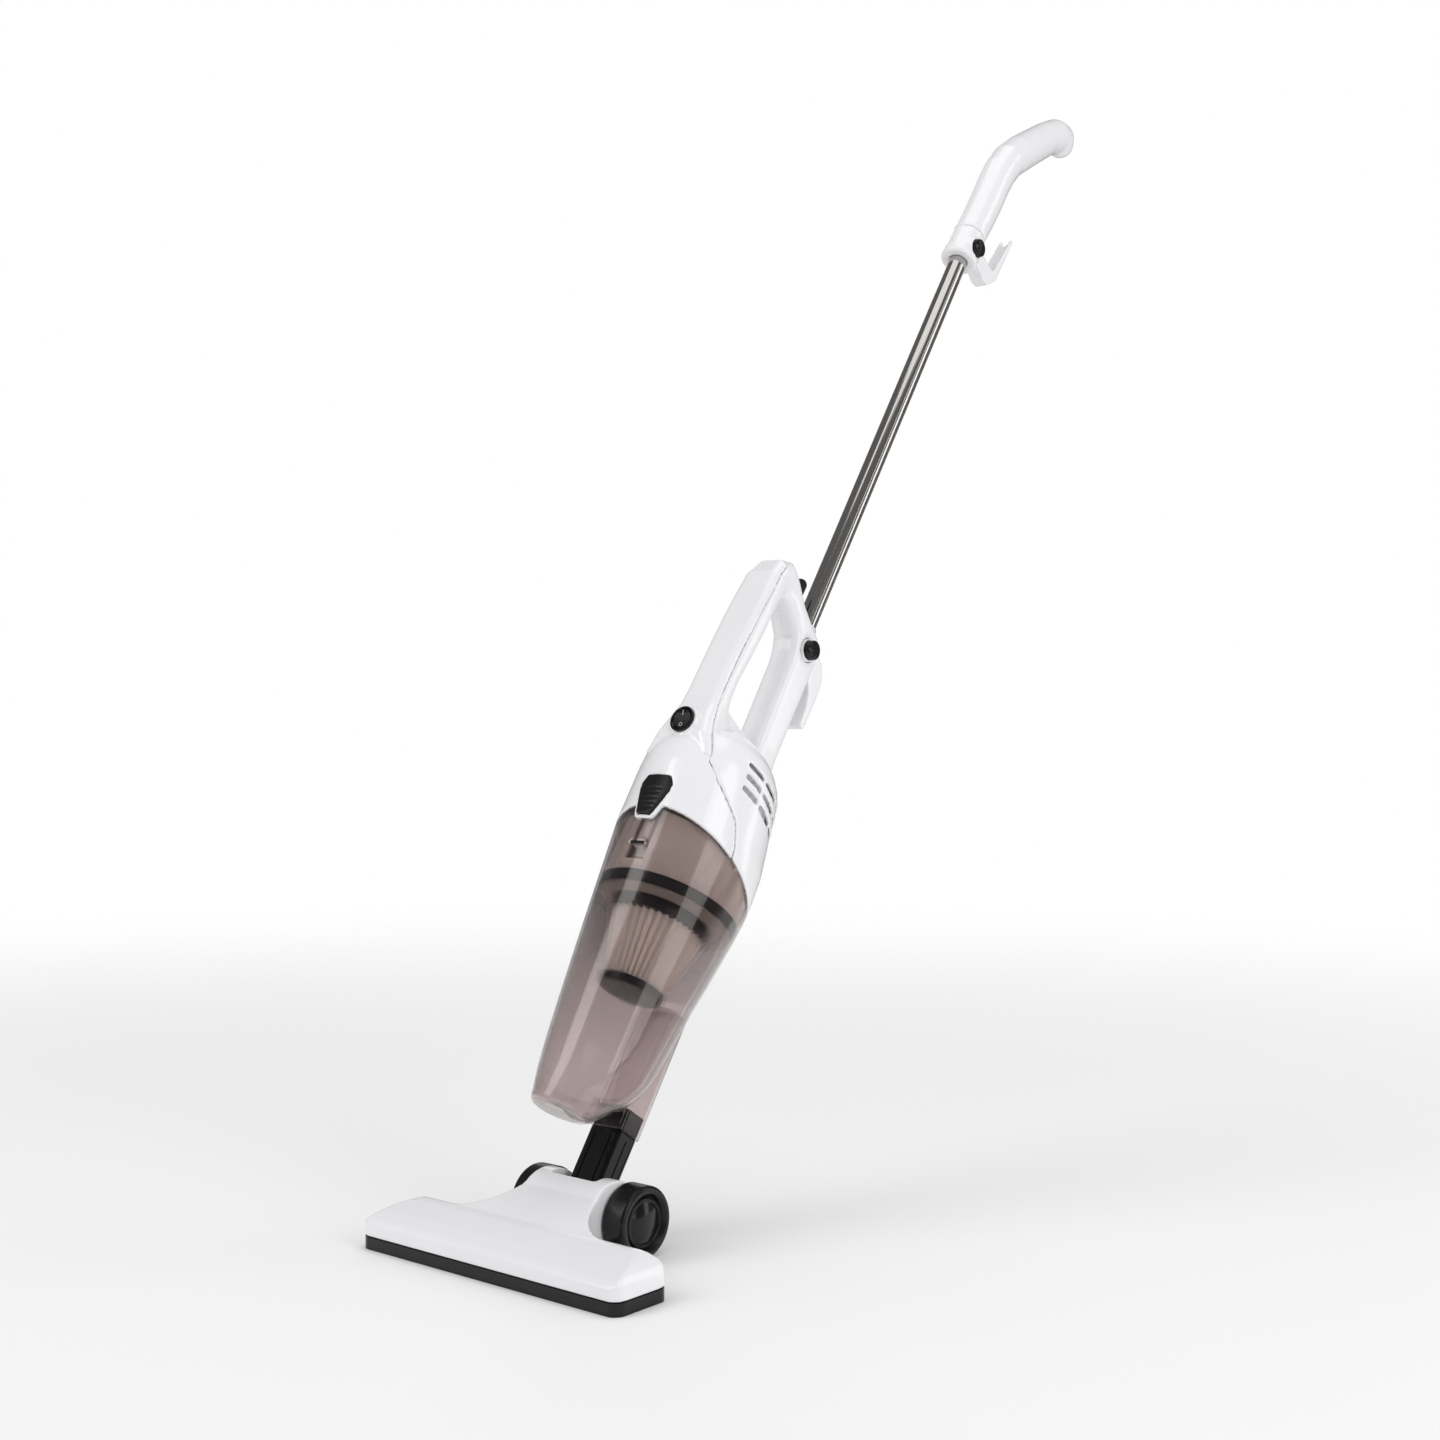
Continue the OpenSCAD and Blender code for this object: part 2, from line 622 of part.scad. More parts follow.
button_outline = [[-10, 15.8], [-13.3, 9.5], [-12.7, 4], [-6, -15.8], [6, -15.8], [12.7, 4], [13.3, 9.5], [10, 15.8]];

module button_plan(grow) {
  // Outline of the release button, grown evenly about its middle.
  k = 1 + grow / 13;
  polygon([for (p = button_outline) [p[0] * k, p[1] * k]]);
}

module through_front(z, depth_from, depth) {
  translate([0, depth_from + depth, z]) rotate([90, 0, 0]) linear_extrude(depth) children();
}

// Slots of the exhaust vents on both flanks, in rows that fall to the rear.
module vents() {
  for (row = vent_z, y = vent_y) across(80)
    polygon([[y[0], row - 0.24 * (y[0] + 40)], [y[1], row - 0.24 * (y[1] + 40)],
      [y[1], row + 4 - 0.24 * (y[1] + 40)], [y[0], row + 4 - 0.24 * (y[0] + 40)]]);
}

// Front of the crease along which the front panel meets the two shells.
crease_at = [[-54, 503], [-63, 478], [-67, 441], [-69.3, 405], [-70, 374], [-70.4, 350], [-70.6, 330],
  [-70.6, 316], [-69.5, 306], [-62, 294], [-52, 283], [-43, 274], [-36, 256], [-34, 240]];
module panel_zone(grow) {
  across(80) polygon(concat([[-120, 520]], [for (p = crease_at) [p[0] + grow, p[1]]], [[-120, 240]]));
}

module switch_place() {
  translate([0, switch_y, switch_z]) rotate([90 + 6, 0, 0]) children();
}

module housing_shell() {
  difference() {
    housing_form(0);
    difference() {
      housing_form(shell);
      // plate across the shells that carries the motor's rear rubber
      translate([-60, motor_y - 60, rear_mount_z - 3]) cube([120, 120, 3]);
      // screw bosses
      for (p = housing_screw_at) translate([-60, p[0], p[1]]) rotate([0, 90, 0])
        cylinder(h = 120, r = 4.4, $fn = 32);
    }
    translate([0, motor_y, rear_mount_z - 10]) cylinder(h = 14, r = rear_mount_r + seat, $fn = 48);
    under_rim(seat);
    vents_right_and_left();
    through_front(button_z, -95, 30) button_plan(run);
    // bores of the tube's socket, its lock and the cord gland
    translate([0, 0, socket_z0 - seat]) cylinder(h = 60, r = socket_r + seat, $fn = 48);
    translate([0, 0, lock_z]) rotate([0, 90, 0]) cylinder(h = 30, r = boss_r + seat, $fn = 48);
    translate([0, gland_y, gland_z - seat]) cylinder(h = 60, r = gland_r - 0.6 + seat, $fn = 32);
    translate([0, gland_y, gland_z + 7 - seat]) cylinder(h = 40, r = gland_r + 0.6 + seat, $fn = 32);
  }
}

module vents_right_and_left() {
  intersection() {
    vents();
    for (x = [-1, 1]) translate([x * 60 - 30, -60, 280]) cube([60, 100, 60]);
  }
}

module half_space(side) {
  translate([side > 0 ? seat / 2 : -200 - seat / 2, -200, 0]) cube([200, 400, 700]);
}

// Bores for screws along X: head recess from the left down to x0, shank bore beyond it.
module screw_bores(places, x0) {
  for (p = places) translate([0, p[0], p[1]]) rotate([0, 90, 0]) {
    translate([0, 0, -60]) cylinder(h = 60 + x0 + 2, r = screw_head + seat, $fn = 24);
    translate([0, 0, x0]) cylinder(h = 14, r = 1.45, $fn = 24);
  }
}

module screws(places, x0, length) {
  for (p = places) translate([x0, p[0], p[1]]) rotate([0, 90, 0]) {
    cylinder(h = 2, r = screw_head, $fn = 24);
    cylinder(h = length, r = 1.4, $fn = 24);
  }
}

module housing_half(side) {
  color("#ededef") stick() difference() {
    intersection() {
      housing_shell();
      half_space(side);
    }
    panel_zone(0);
    screw_bores(housing_screw_at, -9);
  }
}

module housing_left() { housing_half(-1); }
module housing_right() { housing_half(1); }

module front_panel() {
  color("#e6e6e9") stick() {
    difference() {
      union() {
        intersection() {
          housing_shell();
          panel_zone(-seat);
        }
        // raised seat of the round switch
        switch_place() translate([0, 0, -12]) cylinder(h = 12, r1 = switch_r + 4.5, r2 = switch_r + 1.8, $fn = 48);
      }
      switch_place() translate([0, 0, -30]) cylinder(h = 50, r = switch_r - 1.1 + seat, $fn = 48);
    }
    difference() {
      intersection() {
        tongue(0, 14);
        body_ring();
      }
      through_front(button_z, -95, 30) button_plan(run);
    }
  }
}

module body_ring() {
  translate([0, cup_y - 3.4, 250]) ring(56, 53, 40);
}

module housing_screws() {
  color("silver") stick() screws(housing_screw_at, -9, 13);
}

module switch_body() {
  color("#1a1a1c") stick() switch_place() difference() {
    union() {
      translate([0, 0, 0.05]) cylinder(h = 2, r = switch_r);
      translate([0, 0, -14]) cylinder(h = 14.5, r = switch_r - 1.1);
      for (x = [-4, 4]) translate([x - 0.4, -2.4, -21]) cube([0.8, 4.8, 8]);
    }
    translate([0, 0, -ball_r - 0.8]) cylinder(h = 20, r = ball_r + run);
    translate([-switch_r + 1.2, 0, 0]) rotate([0, 90, 0]) cylinder(h = 2 * switch_r - 2.4, r = 1.1 + pin_fit);
  }
}

// The rocker stands with its lower end pressed in, so it is drawn turned by its rest angle.
module switch_rocker() {
  color("#242427") stick() switch_place() rotate([rocker_tilt, 0, 0]) difference() {
    union() {
      difference() {
        sphere(ball_r);
        translate([-20, -20, 2.6]) cube(40);
        translate([-20, 0, 30.4]) rotate([0, 90, 0]) cylinder(h = 40, r = 29);
      }
      translate([-switch_r + 1.5, 0, 0]) rotate([0, 90, 0]) cylinder(h = 2 * switch_r - 3, r = 1.1);
    }
    translate([-20, -20, -20 - 4]) cube([40, 40, 20]);
  }
}

module release_button() {
  color("#19191c") stick() {
    difference() {
      intersection() {
        through_front(button_z, -84, 16) button_plan(0);
        translate([0, button_y, button_z - 40]) cylinder(h = 80, r = button_front_r);
      }
      translate([0, button_y, button_z - 41]) cylinder(h = 82, r = button_front_r - 5);
      for (i = [0:4]) translate([-20, button_y - button_front_r, button_z - 11 + 4 * i]) rotate([0, 90, 0])
        cylinder(h = 40, r = 0.7);
    }
    // arm down to the latch tooth
    translate([-4, arm_y + 2.4, arm_z0]) cube([8, 2.2, button_z - arm_z0 - 2]);
    translate([-4, -76.5, button_z - 10]) cube([8, arm_y + 4.6 + 76.5, 8]);
    translate([-slot_w / 2 + 1, arm_y + run, arm_z0]) cube([slot_w - 2, 3, slot_h - 1.2]);
  }
}

module release_spring() {
  color("silver") stick() translate([0, button_y - button_front_r + 5.1, button_z + 4]) rotate([-90, 0, 0])
    coil_spring_body(3, 7, 0.6);
}

module motor_bulkhead() {
  color("#d9d2cc") stick() {
    difference() {
      union() {
        // skirt that stands inside the cup, with the floor under the motor
        translate([0, cup_y, skirt_z0]) difference() {
          cylinder(h = skirt_top - skirt_z0, r = skirt_r);
          translate([0, 0, floor_z - skirt_z0]) cylinder(h = 60, r = skirt_r - 2.2);
        }
        // lugs against the inside of the shells
        for (x = [-1, 1]) intersection() {
          translate([x * 51 - 3.5, cup_y - 7, 245.5]) cube([7, 14, skirt_top - 245.5]);
          translate([0, cup_y - 2.3, 240]) cylinder(h = 20, r = 1.056 * cup_top_r - shell - seat);
        }
        // wall of the plug that the gasket sits round
        translate([0, cup_y, gasket_z + 1]) cylinder(h = gasket_h, r = gasket_in - seat);
        // ring that holds the motor's front rubber
        translate([0, motor_y, floor_z - 0.5]) ring(fan_r + 8, fan_r + 6 + seat, 5);
      }
      translate([0, cup_y, gasket_z]) cylinder(h = skirt_z0 - gasket_z, r = gasket_in - 2.5);
      // room for the release arm
      translate([-slot_w / 2, cup_y - skirt_r - 1, skirt_z0 + 8]) cube([slot_w, 9, 70]);
      // intake grille
      for (a = [0:45:315]) translate([0, motor_y, skirt_z0 - 1]) rotate([0, 0, a]) translate([10.5, 0, 0])
        cylinder(h = 8, r = 3.4, $fn = 24);
    }
  }
}

// ---------------------------------------------------------------- motor

module at_motor(z) { stick() translate([0, motor_y, z]) children(); }

module impeller_cover() {
  color("silver") at_motor(fan_z - 3) difference() {
    cylinder(h = 25.8, r = fan_r + 3);
    translate([0, 0, 1.2]) cylinder(h = 40, r = fan_r + 1.8);
    translate([0, 0, -1]) cylinder(h = 4, r = 15);
  }
}

module impeller() {
  color("gainsboro") at_motor(fan_z) {
    ring(fan_r, 13, 1);
    translate([0, 0, 11]) ring(fan_r, shaft_r, 1.2);
    translate([0, 0, 4]) ring(6, shaft_r, 8);
    for (i = [0:fan_blades - 1]) rotate([0, 0, i * 360 / fan_blades]) blade();
  }
}

// One blade, a bowed strip from near the hub to the rim.
module blade() {
  bow = fan_r * 0.62;
  intersection() {
    translate([bow * 0.9, -bow * 0.44, 0.5]) ring(bow + 0.6, bow - 0.6, 11);
    ring(fan_r - 0.4, 12, 12);
    cube([fan_r, fan_r, 12]);
  }
}

module motor_frame() {
  color("#9a9da3") at_motor(frame_z) difference() {
    union() {
      cylinder(h = 58, r = motor_r);
      translate([0, 0, -2]) cylinder(h = 3, r = fan_r + 1.6);
      translate([0, 0, 57]) cylinder(h = 8, r = 10);
    }
    translate([0, 0, 3]) cylinder(h = 52, r = motor_r - 1.6);
    translate([0, 0, -3]) cylinder(h = 80, r = shaft_r + 0.6);
    translate([0, 0, 0.5]) cylinder(h = 6, r = 8);
    translate([0, 0, 52]) cylinder(h = 8, r = 8);
    for (a = [0:90:270]) rotate([0, 0, a + 45]) translate([motor_r, 0, 14]) rotate([0, 90, 0]) cylinder(h = 10, r = 6, center = true);
  }
}

module motor_stator() {
  color("#5b5f66") at_motor(frame_z + 14) difference() {
    cylinder(h = 26, r = motor_r - 1.6 - 0.1);
    translate([0, 0, -1]) cylinder(h = 30, r = 16.5);
    for (x = [-1, 1]) translate([x * 20 - 4, -9, -1]) cube([8, 18, 30]);
  }
}

module motor_armature() {
  color("#b87333") at_motor(frame_z + 12) difference() {
    union() {
      translate([0, 0, 2]) cylinder(h = 26, r = 16);
      cylinder(h = 30, r = 13);
    }
    translate([0, 0, -1]) cylinder(h = 40, r = shaft_r);
    for (a = [0:30:330]) rotate([0, 0, a]) translate([14, -0.8, -1]) cube([4, 1.6, 40]);
  }
}

module motor_shaft() {
  color("silver") at_motor(fan_z + 2) cylinder(h = frame_z + 60 - fan_z - 2, r = shaft_r - 0.01);
}

module commutator() {
  color("#c77b3a") at_motor(frame_z + 43) ring(8.5, shaft_r, 7);
}

module carbon_brushes() {
  color("#333336") at_motor(frame_z + 43.5) for (x = [-1, 1])
    translate([x * 17.95 - 9.15, -3, 0]) cube([18.3, 6, 6]);
}

module motor_bearings() {
  color("silver") at_motor(0) for (z = [frame_z + 1, frame_z + 52.5])
    translate([0, 0, z]) ring(7.95, shaft_r + 0.03, 5);
}

module motor_mount_front() {
  color("#222225") at_motor(floor_z) ring(fan_r + 6, fan_r + 3.1, 8);
}

module motor_mount_rear() {
  color("#222225") at_motor(frame_z + 58.1) ring(rear_mount_r, 10.05, 6.5);
}

// ---------------------------------------------------------------- tube, sockets and hooks

module tube_socket() {
  color("#ededef") stick() difference() {
    union() {
      translate([0, 0, socket_z0]) cylinder(h = socket_top - socket_z0, r = socket_r);
      translate([0, 0, lock_z]) rotate([0, 90, 0]) cylinder(h = lock_out, r = boss_r);
    }
    translate([0, 0, tube_z0 - 1]) cylinder(h = 80, r = tube_r + pin_fit);
    translate([tube_r - 2, 0, lock_z]) rotate([0, 90, 0]) cylinder(h = 20, r = lock_r + run);
  }
}

module lock_button(z) {
  color("#151517") stick() translate([0, 0, z]) rotate([0, 90, 0]) {
    translate([0, 0, 13]) cylinder(h = 5.4, r = lock_r);
    translate([0, 0, tube_r + run]) cylinder(h = 6, r = 2.6);
  }
}

module lock_spring(z) {
  color("silver") stick() translate([0, 0, z]) rotate([0, 90, 0]) translate([0, 0, tube_r + run])
    coil_spring_body(5, 4.4, 0.6);
}

module tube_lock_button() { lock_button(lock_z); }
module tube_lock_spring() { lock_spring(lock_z); }
module handle_lock_button() { lock_button(top_lock_z); }
module handle_lock_spring() { lock_spring(top_lock_z); }

module lower_cord_hook() {
  color("#ededef") stick() across(9) polygon([[hook_y, 461], [24.5, 457.5], [30.5, 450], [33.4, 440], [33.6, 430],
    [33, 401.6], [27.6, 401.6], [26.6, 418], [22.6, 430], [hook_y, 437]]);
}

module cord_gland() {
  color("#17171a") stick() translate([0, gland_y, gland_z]) difference() {
    union() {
      cylinder(h = 8, r = gland_r - 0.6);
      translate([0, 0, 7]) cylinder(h = 18, r1 = gland_r - 0.4, r2 = gland_r);
      translate([0, 0, 25]) sphere(gland_r);
    }
    translate([0, 0, -1]) cylinder(h = 40, r = 2.9);
  }
}

module extension_tube() {
  color("#b9bcc2") stick() translate([0, 0, tube_z0]) difference() {
    ring(tube_r, tube_r - tube_wall, tube_l);
    for (z = [lock_z - tube_z0, top_lock_z - tube_z0]) translate([0, 0, z]) rotate([0, 90, 0]) cylinder(h = 20, r = 3);
  }
}

module handle_collar() {
  color("#ededef") stick() difference() {
    union() {
      translate([0, 0, collar_z]) rotate_extrude() polygon([[0, 0], [14.6, 0], [16, 1.6], [16.2, 8], [15.4, 14],
        [14.8, collar_h], [0, collar_h]]);
      translate([0, 0, collar_z + collar_h - 1]) cylinder(h = 22, r = plug_r);
      translate([0, 0, top_lock_z]) rotate([0, 90, 0]) cylinder(h = lock_out + 1.6, r = boss_r);
      // cord hook with a notched plate
      difference() {
        across(6.5) polygon([[10, collar_z + 11], [24, collar_z + 11], [32, collar_z + 8], [40, collar_z + 10],
          [47.5, collar_z + 22], [50, collar_z + 72], [47.4, collar_z + 72], [41.2, collar_z + 31],
          [39, collar_z + 26], [14, collar_z + 27]]);
        translate([0, 60, collar_z + 68]) rotate([90, 0, 0]) cylinder(h = 40, r = 3.4);
        translate([-3.4, 30, collar_z + 68]) cube([6.8, 40, 10]);
      }
    }
    translate([0, 0, collar_z - 1]) cylinder(h = tube_in + 3, r = tube_r + pin_fit);
    translate([tube_r - 2, 0, top_lock_z]) rotate([0, 90, 0]) cylinder(h = 20, r = lock_r + run);
  }
}

// Beads of the bent grip: middle behind the tube's axis, height over the collar's foot, radius.
top_grip_at = [[0.2, 31, 14.9], [1.6, 49, 15.1], [3, 74, 15.4], [3.2, 96, 15.5], [4.6, 114, 15.8],
  [8.8, 132, 16.2], [17.2, 150, 16.5], [31, 175.5, 16], [44, 199, 15.6], [54, 213.5, 15.8], [61, 218, 14.9],
  [67, 216.6, 12.2]];

module top_grip_form(inset) {
  for (i = [0:len(top_grip_at) - 2]) hull() for (b = [top_grip_at[i], top_grip_at[i + 1]])
    translate([0, b[0], collar_z + b[1]]) sphere(b[2] * grip_r / 15.4 - inset, $fn = 32);
}

module grip_half(side) {
  color("#ededef") stick() difference() {
    intersection() {
      top_grip_form(0);
      half_space_at(side);
    }
    difference() {
      top_grip_form(shell);
      for (p = grip_screw_at) translate([-60, p[0], p[1]]) rotate([0, 90, 0]) cylinder(h = 120, r = 4.4, $fn = 32);
    }
    translate([-40, -40, 800]) cube([80, 80, collar_z + collar_h + seat - 800]);
    translate([0, 0, 800]) cylinder(h = collar_z + collar_h + 21.2 - 800, r = plug_r + seat, $fn = 48);
    screw_bores(grip_screw_at, -9);
  }
}

module half_space_at(side) {
  translate([side > 0 ? seat / 2 : -200 - seat / 2, -200, 800]) cube([200, 500, 500]);
}

module handle_left() { grip_half(-1); }
module handle_right() { grip_half(1); }

module handle_screws() {
  color("silver") stick() screws(grip_screw_at, -9, 13);
}

head_cover();
head_base();
lint_strips();
head_screws();
wheel_left();
wheel_right();
wheel_cap_left();
wheel_cap_right();
wheel_axles();
neck();
dust_cup();
cup_gasket();
filter_holder();
filter_ring();
filter_pleats();
filter_cap();
motor_bulkhead();
housing_left();
housing_right();
front_panel();
housing_screws();
switch_body();
switch_rocker();
release_button();
release_spring();
tube_socket();
tube_lock_button();
tube_lock_spring();
lower_cord_hook();
cord_gland();
extension_tube();
handle_collar();
handle_left();
handle_right();
handle_screws();
handle_lock_button();
handle_lock_spring();
motor_frame();
motor_stator();
motor_armature();
motor_shaft();
commutator();
carbon_brushes();
motor_bearings();
impeller();
impeller_cover();
motor_mount_front();
motor_mount_rear();
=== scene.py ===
import json
import math

import bmesh
import bpy
from mathutils import Matrix, Vector, noise
from mathutils.bvhtree import BVHTree


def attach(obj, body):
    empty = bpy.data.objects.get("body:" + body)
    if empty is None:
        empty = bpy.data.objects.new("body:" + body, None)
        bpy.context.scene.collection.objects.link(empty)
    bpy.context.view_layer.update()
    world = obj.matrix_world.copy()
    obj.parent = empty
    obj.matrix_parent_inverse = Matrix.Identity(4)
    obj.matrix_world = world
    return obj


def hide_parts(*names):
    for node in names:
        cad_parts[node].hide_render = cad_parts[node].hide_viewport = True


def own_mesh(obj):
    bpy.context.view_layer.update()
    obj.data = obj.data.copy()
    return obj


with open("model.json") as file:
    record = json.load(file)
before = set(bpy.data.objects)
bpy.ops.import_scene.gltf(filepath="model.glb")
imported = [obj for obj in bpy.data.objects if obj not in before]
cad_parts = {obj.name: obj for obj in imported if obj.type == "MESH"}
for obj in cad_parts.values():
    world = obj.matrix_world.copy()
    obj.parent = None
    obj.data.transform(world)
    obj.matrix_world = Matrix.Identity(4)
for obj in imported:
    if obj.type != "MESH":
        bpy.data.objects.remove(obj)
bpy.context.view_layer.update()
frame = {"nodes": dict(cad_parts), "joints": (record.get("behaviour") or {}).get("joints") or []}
scene = bpy.context.scene

# ---------------------------------------------------------------- camera
# A long lens stands at the vacuum's front right, level with the middle of the stick and
# 1.2 m away. It is shifted by its place only, so that other views can reuse it.
bearing = math.radians(39.6)
rise = math.radians(0.5)
back = Vector((math.sin(bearing) * math.cos(rise), -math.cos(bearing) * math.cos(rise), math.sin(rise)))
right = Vector((math.cos(bearing), math.sin(bearing), 0))
up = back.cross(right)
away_m, aside_m, height_m = 1.2229, 0.1376, 0.3584
lens = bpy.data.cameras.new("studio camera")
lens.sensor_width = 36
lens.lens = 47.1
lens.clip_end = 50
camera = bpy.data.objects.new("studio camera", lens)
scene.collection.objects.link(camera)
stand = back * away_m + right * aside_m + up * height_m
camera.matrix_world = Matrix.Translation(stand) @ Matrix((right, up, back)).transposed().to_4x4()
scene.camera = camera
scene.view_settings.view_transform = "Standard"


# ---------------------------------------------------------------- floor and studio light
# The floor is a plain matt sheet, pale as paper, that fades out far from the vacuum. Five
# softboxes stand round it: a key, a side, a top, a strip and a rear one.
def linear(hex_colour):
    """sRGB hex to linear RGBA."""
    values = [int(hex_colour[i : i + 2], 16) / 255 for i in (1, 3, 5)]
    return [v / 12.92 if v <= 0.04045 else ((v + 0.055) / 1.055) ** 2.4 for v in values] + [1]


def add(material, kind, settings=None, links=None):
    """Adds a node with its settings, and links its inputs to other nodes' outputs."""
    tree = material.node_tree
    node = tree.nodes.new(kind)
    for key, value in (settings or {}).items():
        if key in node.inputs:
            node.inputs[key].default_value = value
        else:
            setattr(node, key, value)
    for key, (source, output) in (links or {}).items():
        tree.links.new(source.outputs[output], node.inputs[key])
    return node


def new_material(name):
    """A material with no nodes yet."""
    material = bpy.data.materials.new(name)
    material.use_nodes = True
    material.node_tree.nodes.clear()
    return material


# Matt white studio paper, uncoated: it takes soft shadows and gives no shine. Its tooth is drawn
# 2.5 mm wide, coarser than real, and it turns clear between 0.3 m and 2.4 m from the vacuum.
floor_r = 2.4
paper_white = new_material("matt white studio paper")
place = add(paper_white, "ShaderNodeTexCoord")
reach = add(paper_white, "ShaderNodeVectorMath", {"operation": "LENGTH"}, {0: (place, "Object")})
fade = add(
    paper_white,
    "ShaderNodeMapRange",
    {"interpolation_type": "SMOOTHERSTEP", "From Min": 0.3, "From Max": floor_r},
    {"Value": (reach, "Value")},
)
fibre = add(paper_white, "ShaderNodeTexNoise", {"Scale": 400, "Detail": 3}, {"Vector": (place, "Object")})
tooth = add(paper_white, "ShaderNodeBump", {"Strength": 0.05, "Distance": 0.0002}, {"Height": (fibre, "Fac")})
sheet = add(
    paper_white,
    "ShaderNodeBsdfPrincipled",
    {"Base Color": linear("#F4F4F4"), "Roughness": 0.8},
    {"Normal": (tooth, "Normal")},
)
clear = add(paper_white, "ShaderNodeBsdfTransparent")
blend = add(
    paper_white,
    "ShaderNodeMixShader",
    {},
    {0: (fade, "Result"), 1: (sheet, "BSDF"), 2: (clear, "BSDF")},
)
add(paper_white, "ShaderNodeOutputMaterial", {}, {"Surface": (blend, "Shader")})

just_below = -0.0002
form = bmesh.new()
bmesh.ops.create_circle(form, cap_ends=True, segments=96, radius=floor_r)
bmesh.ops.translate(form, verts=form.verts, vec=(0, 0, just_below))
mesh = bpy.data.meshes.new("floor")
form.to_mesh(mesh)
form.free()
mesh.materials.append(paper_white)
floor = bpy.data.objects.new("floor", mesh)
scene.collection.objects.link(floor)

# The studio's white walls: full white to the eye, and dimmer to all other rays, most of all to
# those off a gloss, so that white plastic keeps its shading.
world = bpy.data.worlds.new("studio")
world.use_nodes = True
world.node_tree.nodes.clear()
scene.world = world
seen = add(world, "ShaderNodeLightPath")
round_about = add(
    world, "ShaderNodeMapRange", {"To Min": 0.62, "To Max": 0.16}, {"Value": (seen, "Is Glossy Ray")}
)
glow = add(
    world,
    "ShaderNodeMath",
    {"operation": "MAXIMUM"},
    {0: (seen, "Is Camera Ray"), 1: (round_about, "Result")},
)
sky = add(world, "ShaderNodeBackground", {"Color": linear("#FFFFFF")}, {"Strength": (glow, "Value")})
add(world, "ShaderNodeOutputWorld", {}, {"Surface": (sky, "Background")})


def softbox(name, place, aim, width, height, power):
    """A softbox at a place in m, turned to what it lights, of that size in m and power in W."""
    lamp = bpy.data.lights.new(name, "AREA")
    lamp.shape = "RECTANGLE"
    lamp.size = width
    lamp.size_y = height
    lamp.energy = power
    box = bpy.data.objects.new(name, lamp)
    box.location = place
    box.rotation_euler = (Vector(aim) - Vector(place)).to_track_quat("-Z", "Y").to_euler()
    scene.collection.objects.link(box)


softbox("key softbox", (-0.9, -1.5, 1.5), (0, 0.15, 0.4), 1.0, 1.5, 14.5)
softbox("side softbox", (1.8, 0.0, 0.9), (0, 0.2, 0.45), 0.9, 1.7, 10.5)
softbox("top softbox", (0.2, 0.4, 2.4), (0, 0.25, 0.4), 1.4, 1.4, 7)
softbox("strip softbox", (1.3, 1.6, 0.65), (0, 0.4, 0.6), 0.45, 2.4, 6)
softbox("rear softbox", (-1.3, 1.7, 1.2), (0, 0.3, 0.5), 0.8, 1.4, 3.5)


# ---------------------------------------------------------------- floor head
# The cover is one white ABS moulding, 2.2 mm thick, with bosses for the wheels' pins. Four screws
# hold the black ABS base under it, which is the sole and carries the lint strips. Open fault: the
# dressed cover cuts about 0.5 mm into the barrel and the trunnions of the neck.
def skin(*nodes):
    """A copy of the skin of one or more solids, with its doubled points merged."""
    form = bmesh.new()
    for node in nodes:
        form.from_mesh(frame["nodes"][node].data)
    bmesh.ops.remove_doubles(form, verts=form.verts, dist=0.00001)
    return form


def make_piece(form, name, body, material, replaced=(), angle=35):
    """Turns a form into a piece that rides on a body; edges over the angle stay sharp."""
    mesh = bpy.data.meshes.new(name)
    form.to_mesh(mesh)
    form.free()
    mesh.materials.clear()
    mesh.materials.append(material)
    piece = bpy.data.objects.new(name, mesh)
    scene.collection.objects.link(piece)
    for face in mesh.polygons:
        face.use_smooth = True
        face.material_index = 0
    if angle < 180:
        mesh.set_sharp_from_angle(angle=math.radians(angle))
    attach(piece, body)
    if replaced:
        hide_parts(*replaced)
    return piece


def remade(form, kind, **settings):
    """Sends a form through one modifier with those settings, and gives what comes out."""
    mesh = bpy.data.meshes.new("blank")
    form.to_mesh(mesh)
    form.free()
    blank = bpy.data.objects.new("blank", mesh)
    scene.collection.objects.link(blank)
    change = blank.modifiers.new("change", kind)
    for key, value in settings.items():
        setattr(change, key, value)
    done = bpy.data.meshes.new_from_object(blank.evaluated_get(bpy.context.evaluated_depsgraph_get()))
    form = bmesh.new()
    form.from_mesh(done)
    bpy.data.objects.remove(blank)
    bpy.data.meshes.remove(mesh)
    bpy.data.meshes.remove(done)
    return form


def rubbed(form, grain, rounds, crisp=None):
    """Gives a closed form an even mesh of that grain in mm, and rubs all but its crisp edges round."""
    form = remade(form, "REMESH", mode="VOXEL", voxel_size=grain / 1000)
    soft = [vert for vert in form.verts if crisp is None or not crisp(vert.co)]
    for _ in range(rounds):
        bmesh.ops.smooth_vert(form, verts=soft, factor=0.5, use_axis_x=True, use_axis_y=True, use_axis_z=True)
    return form


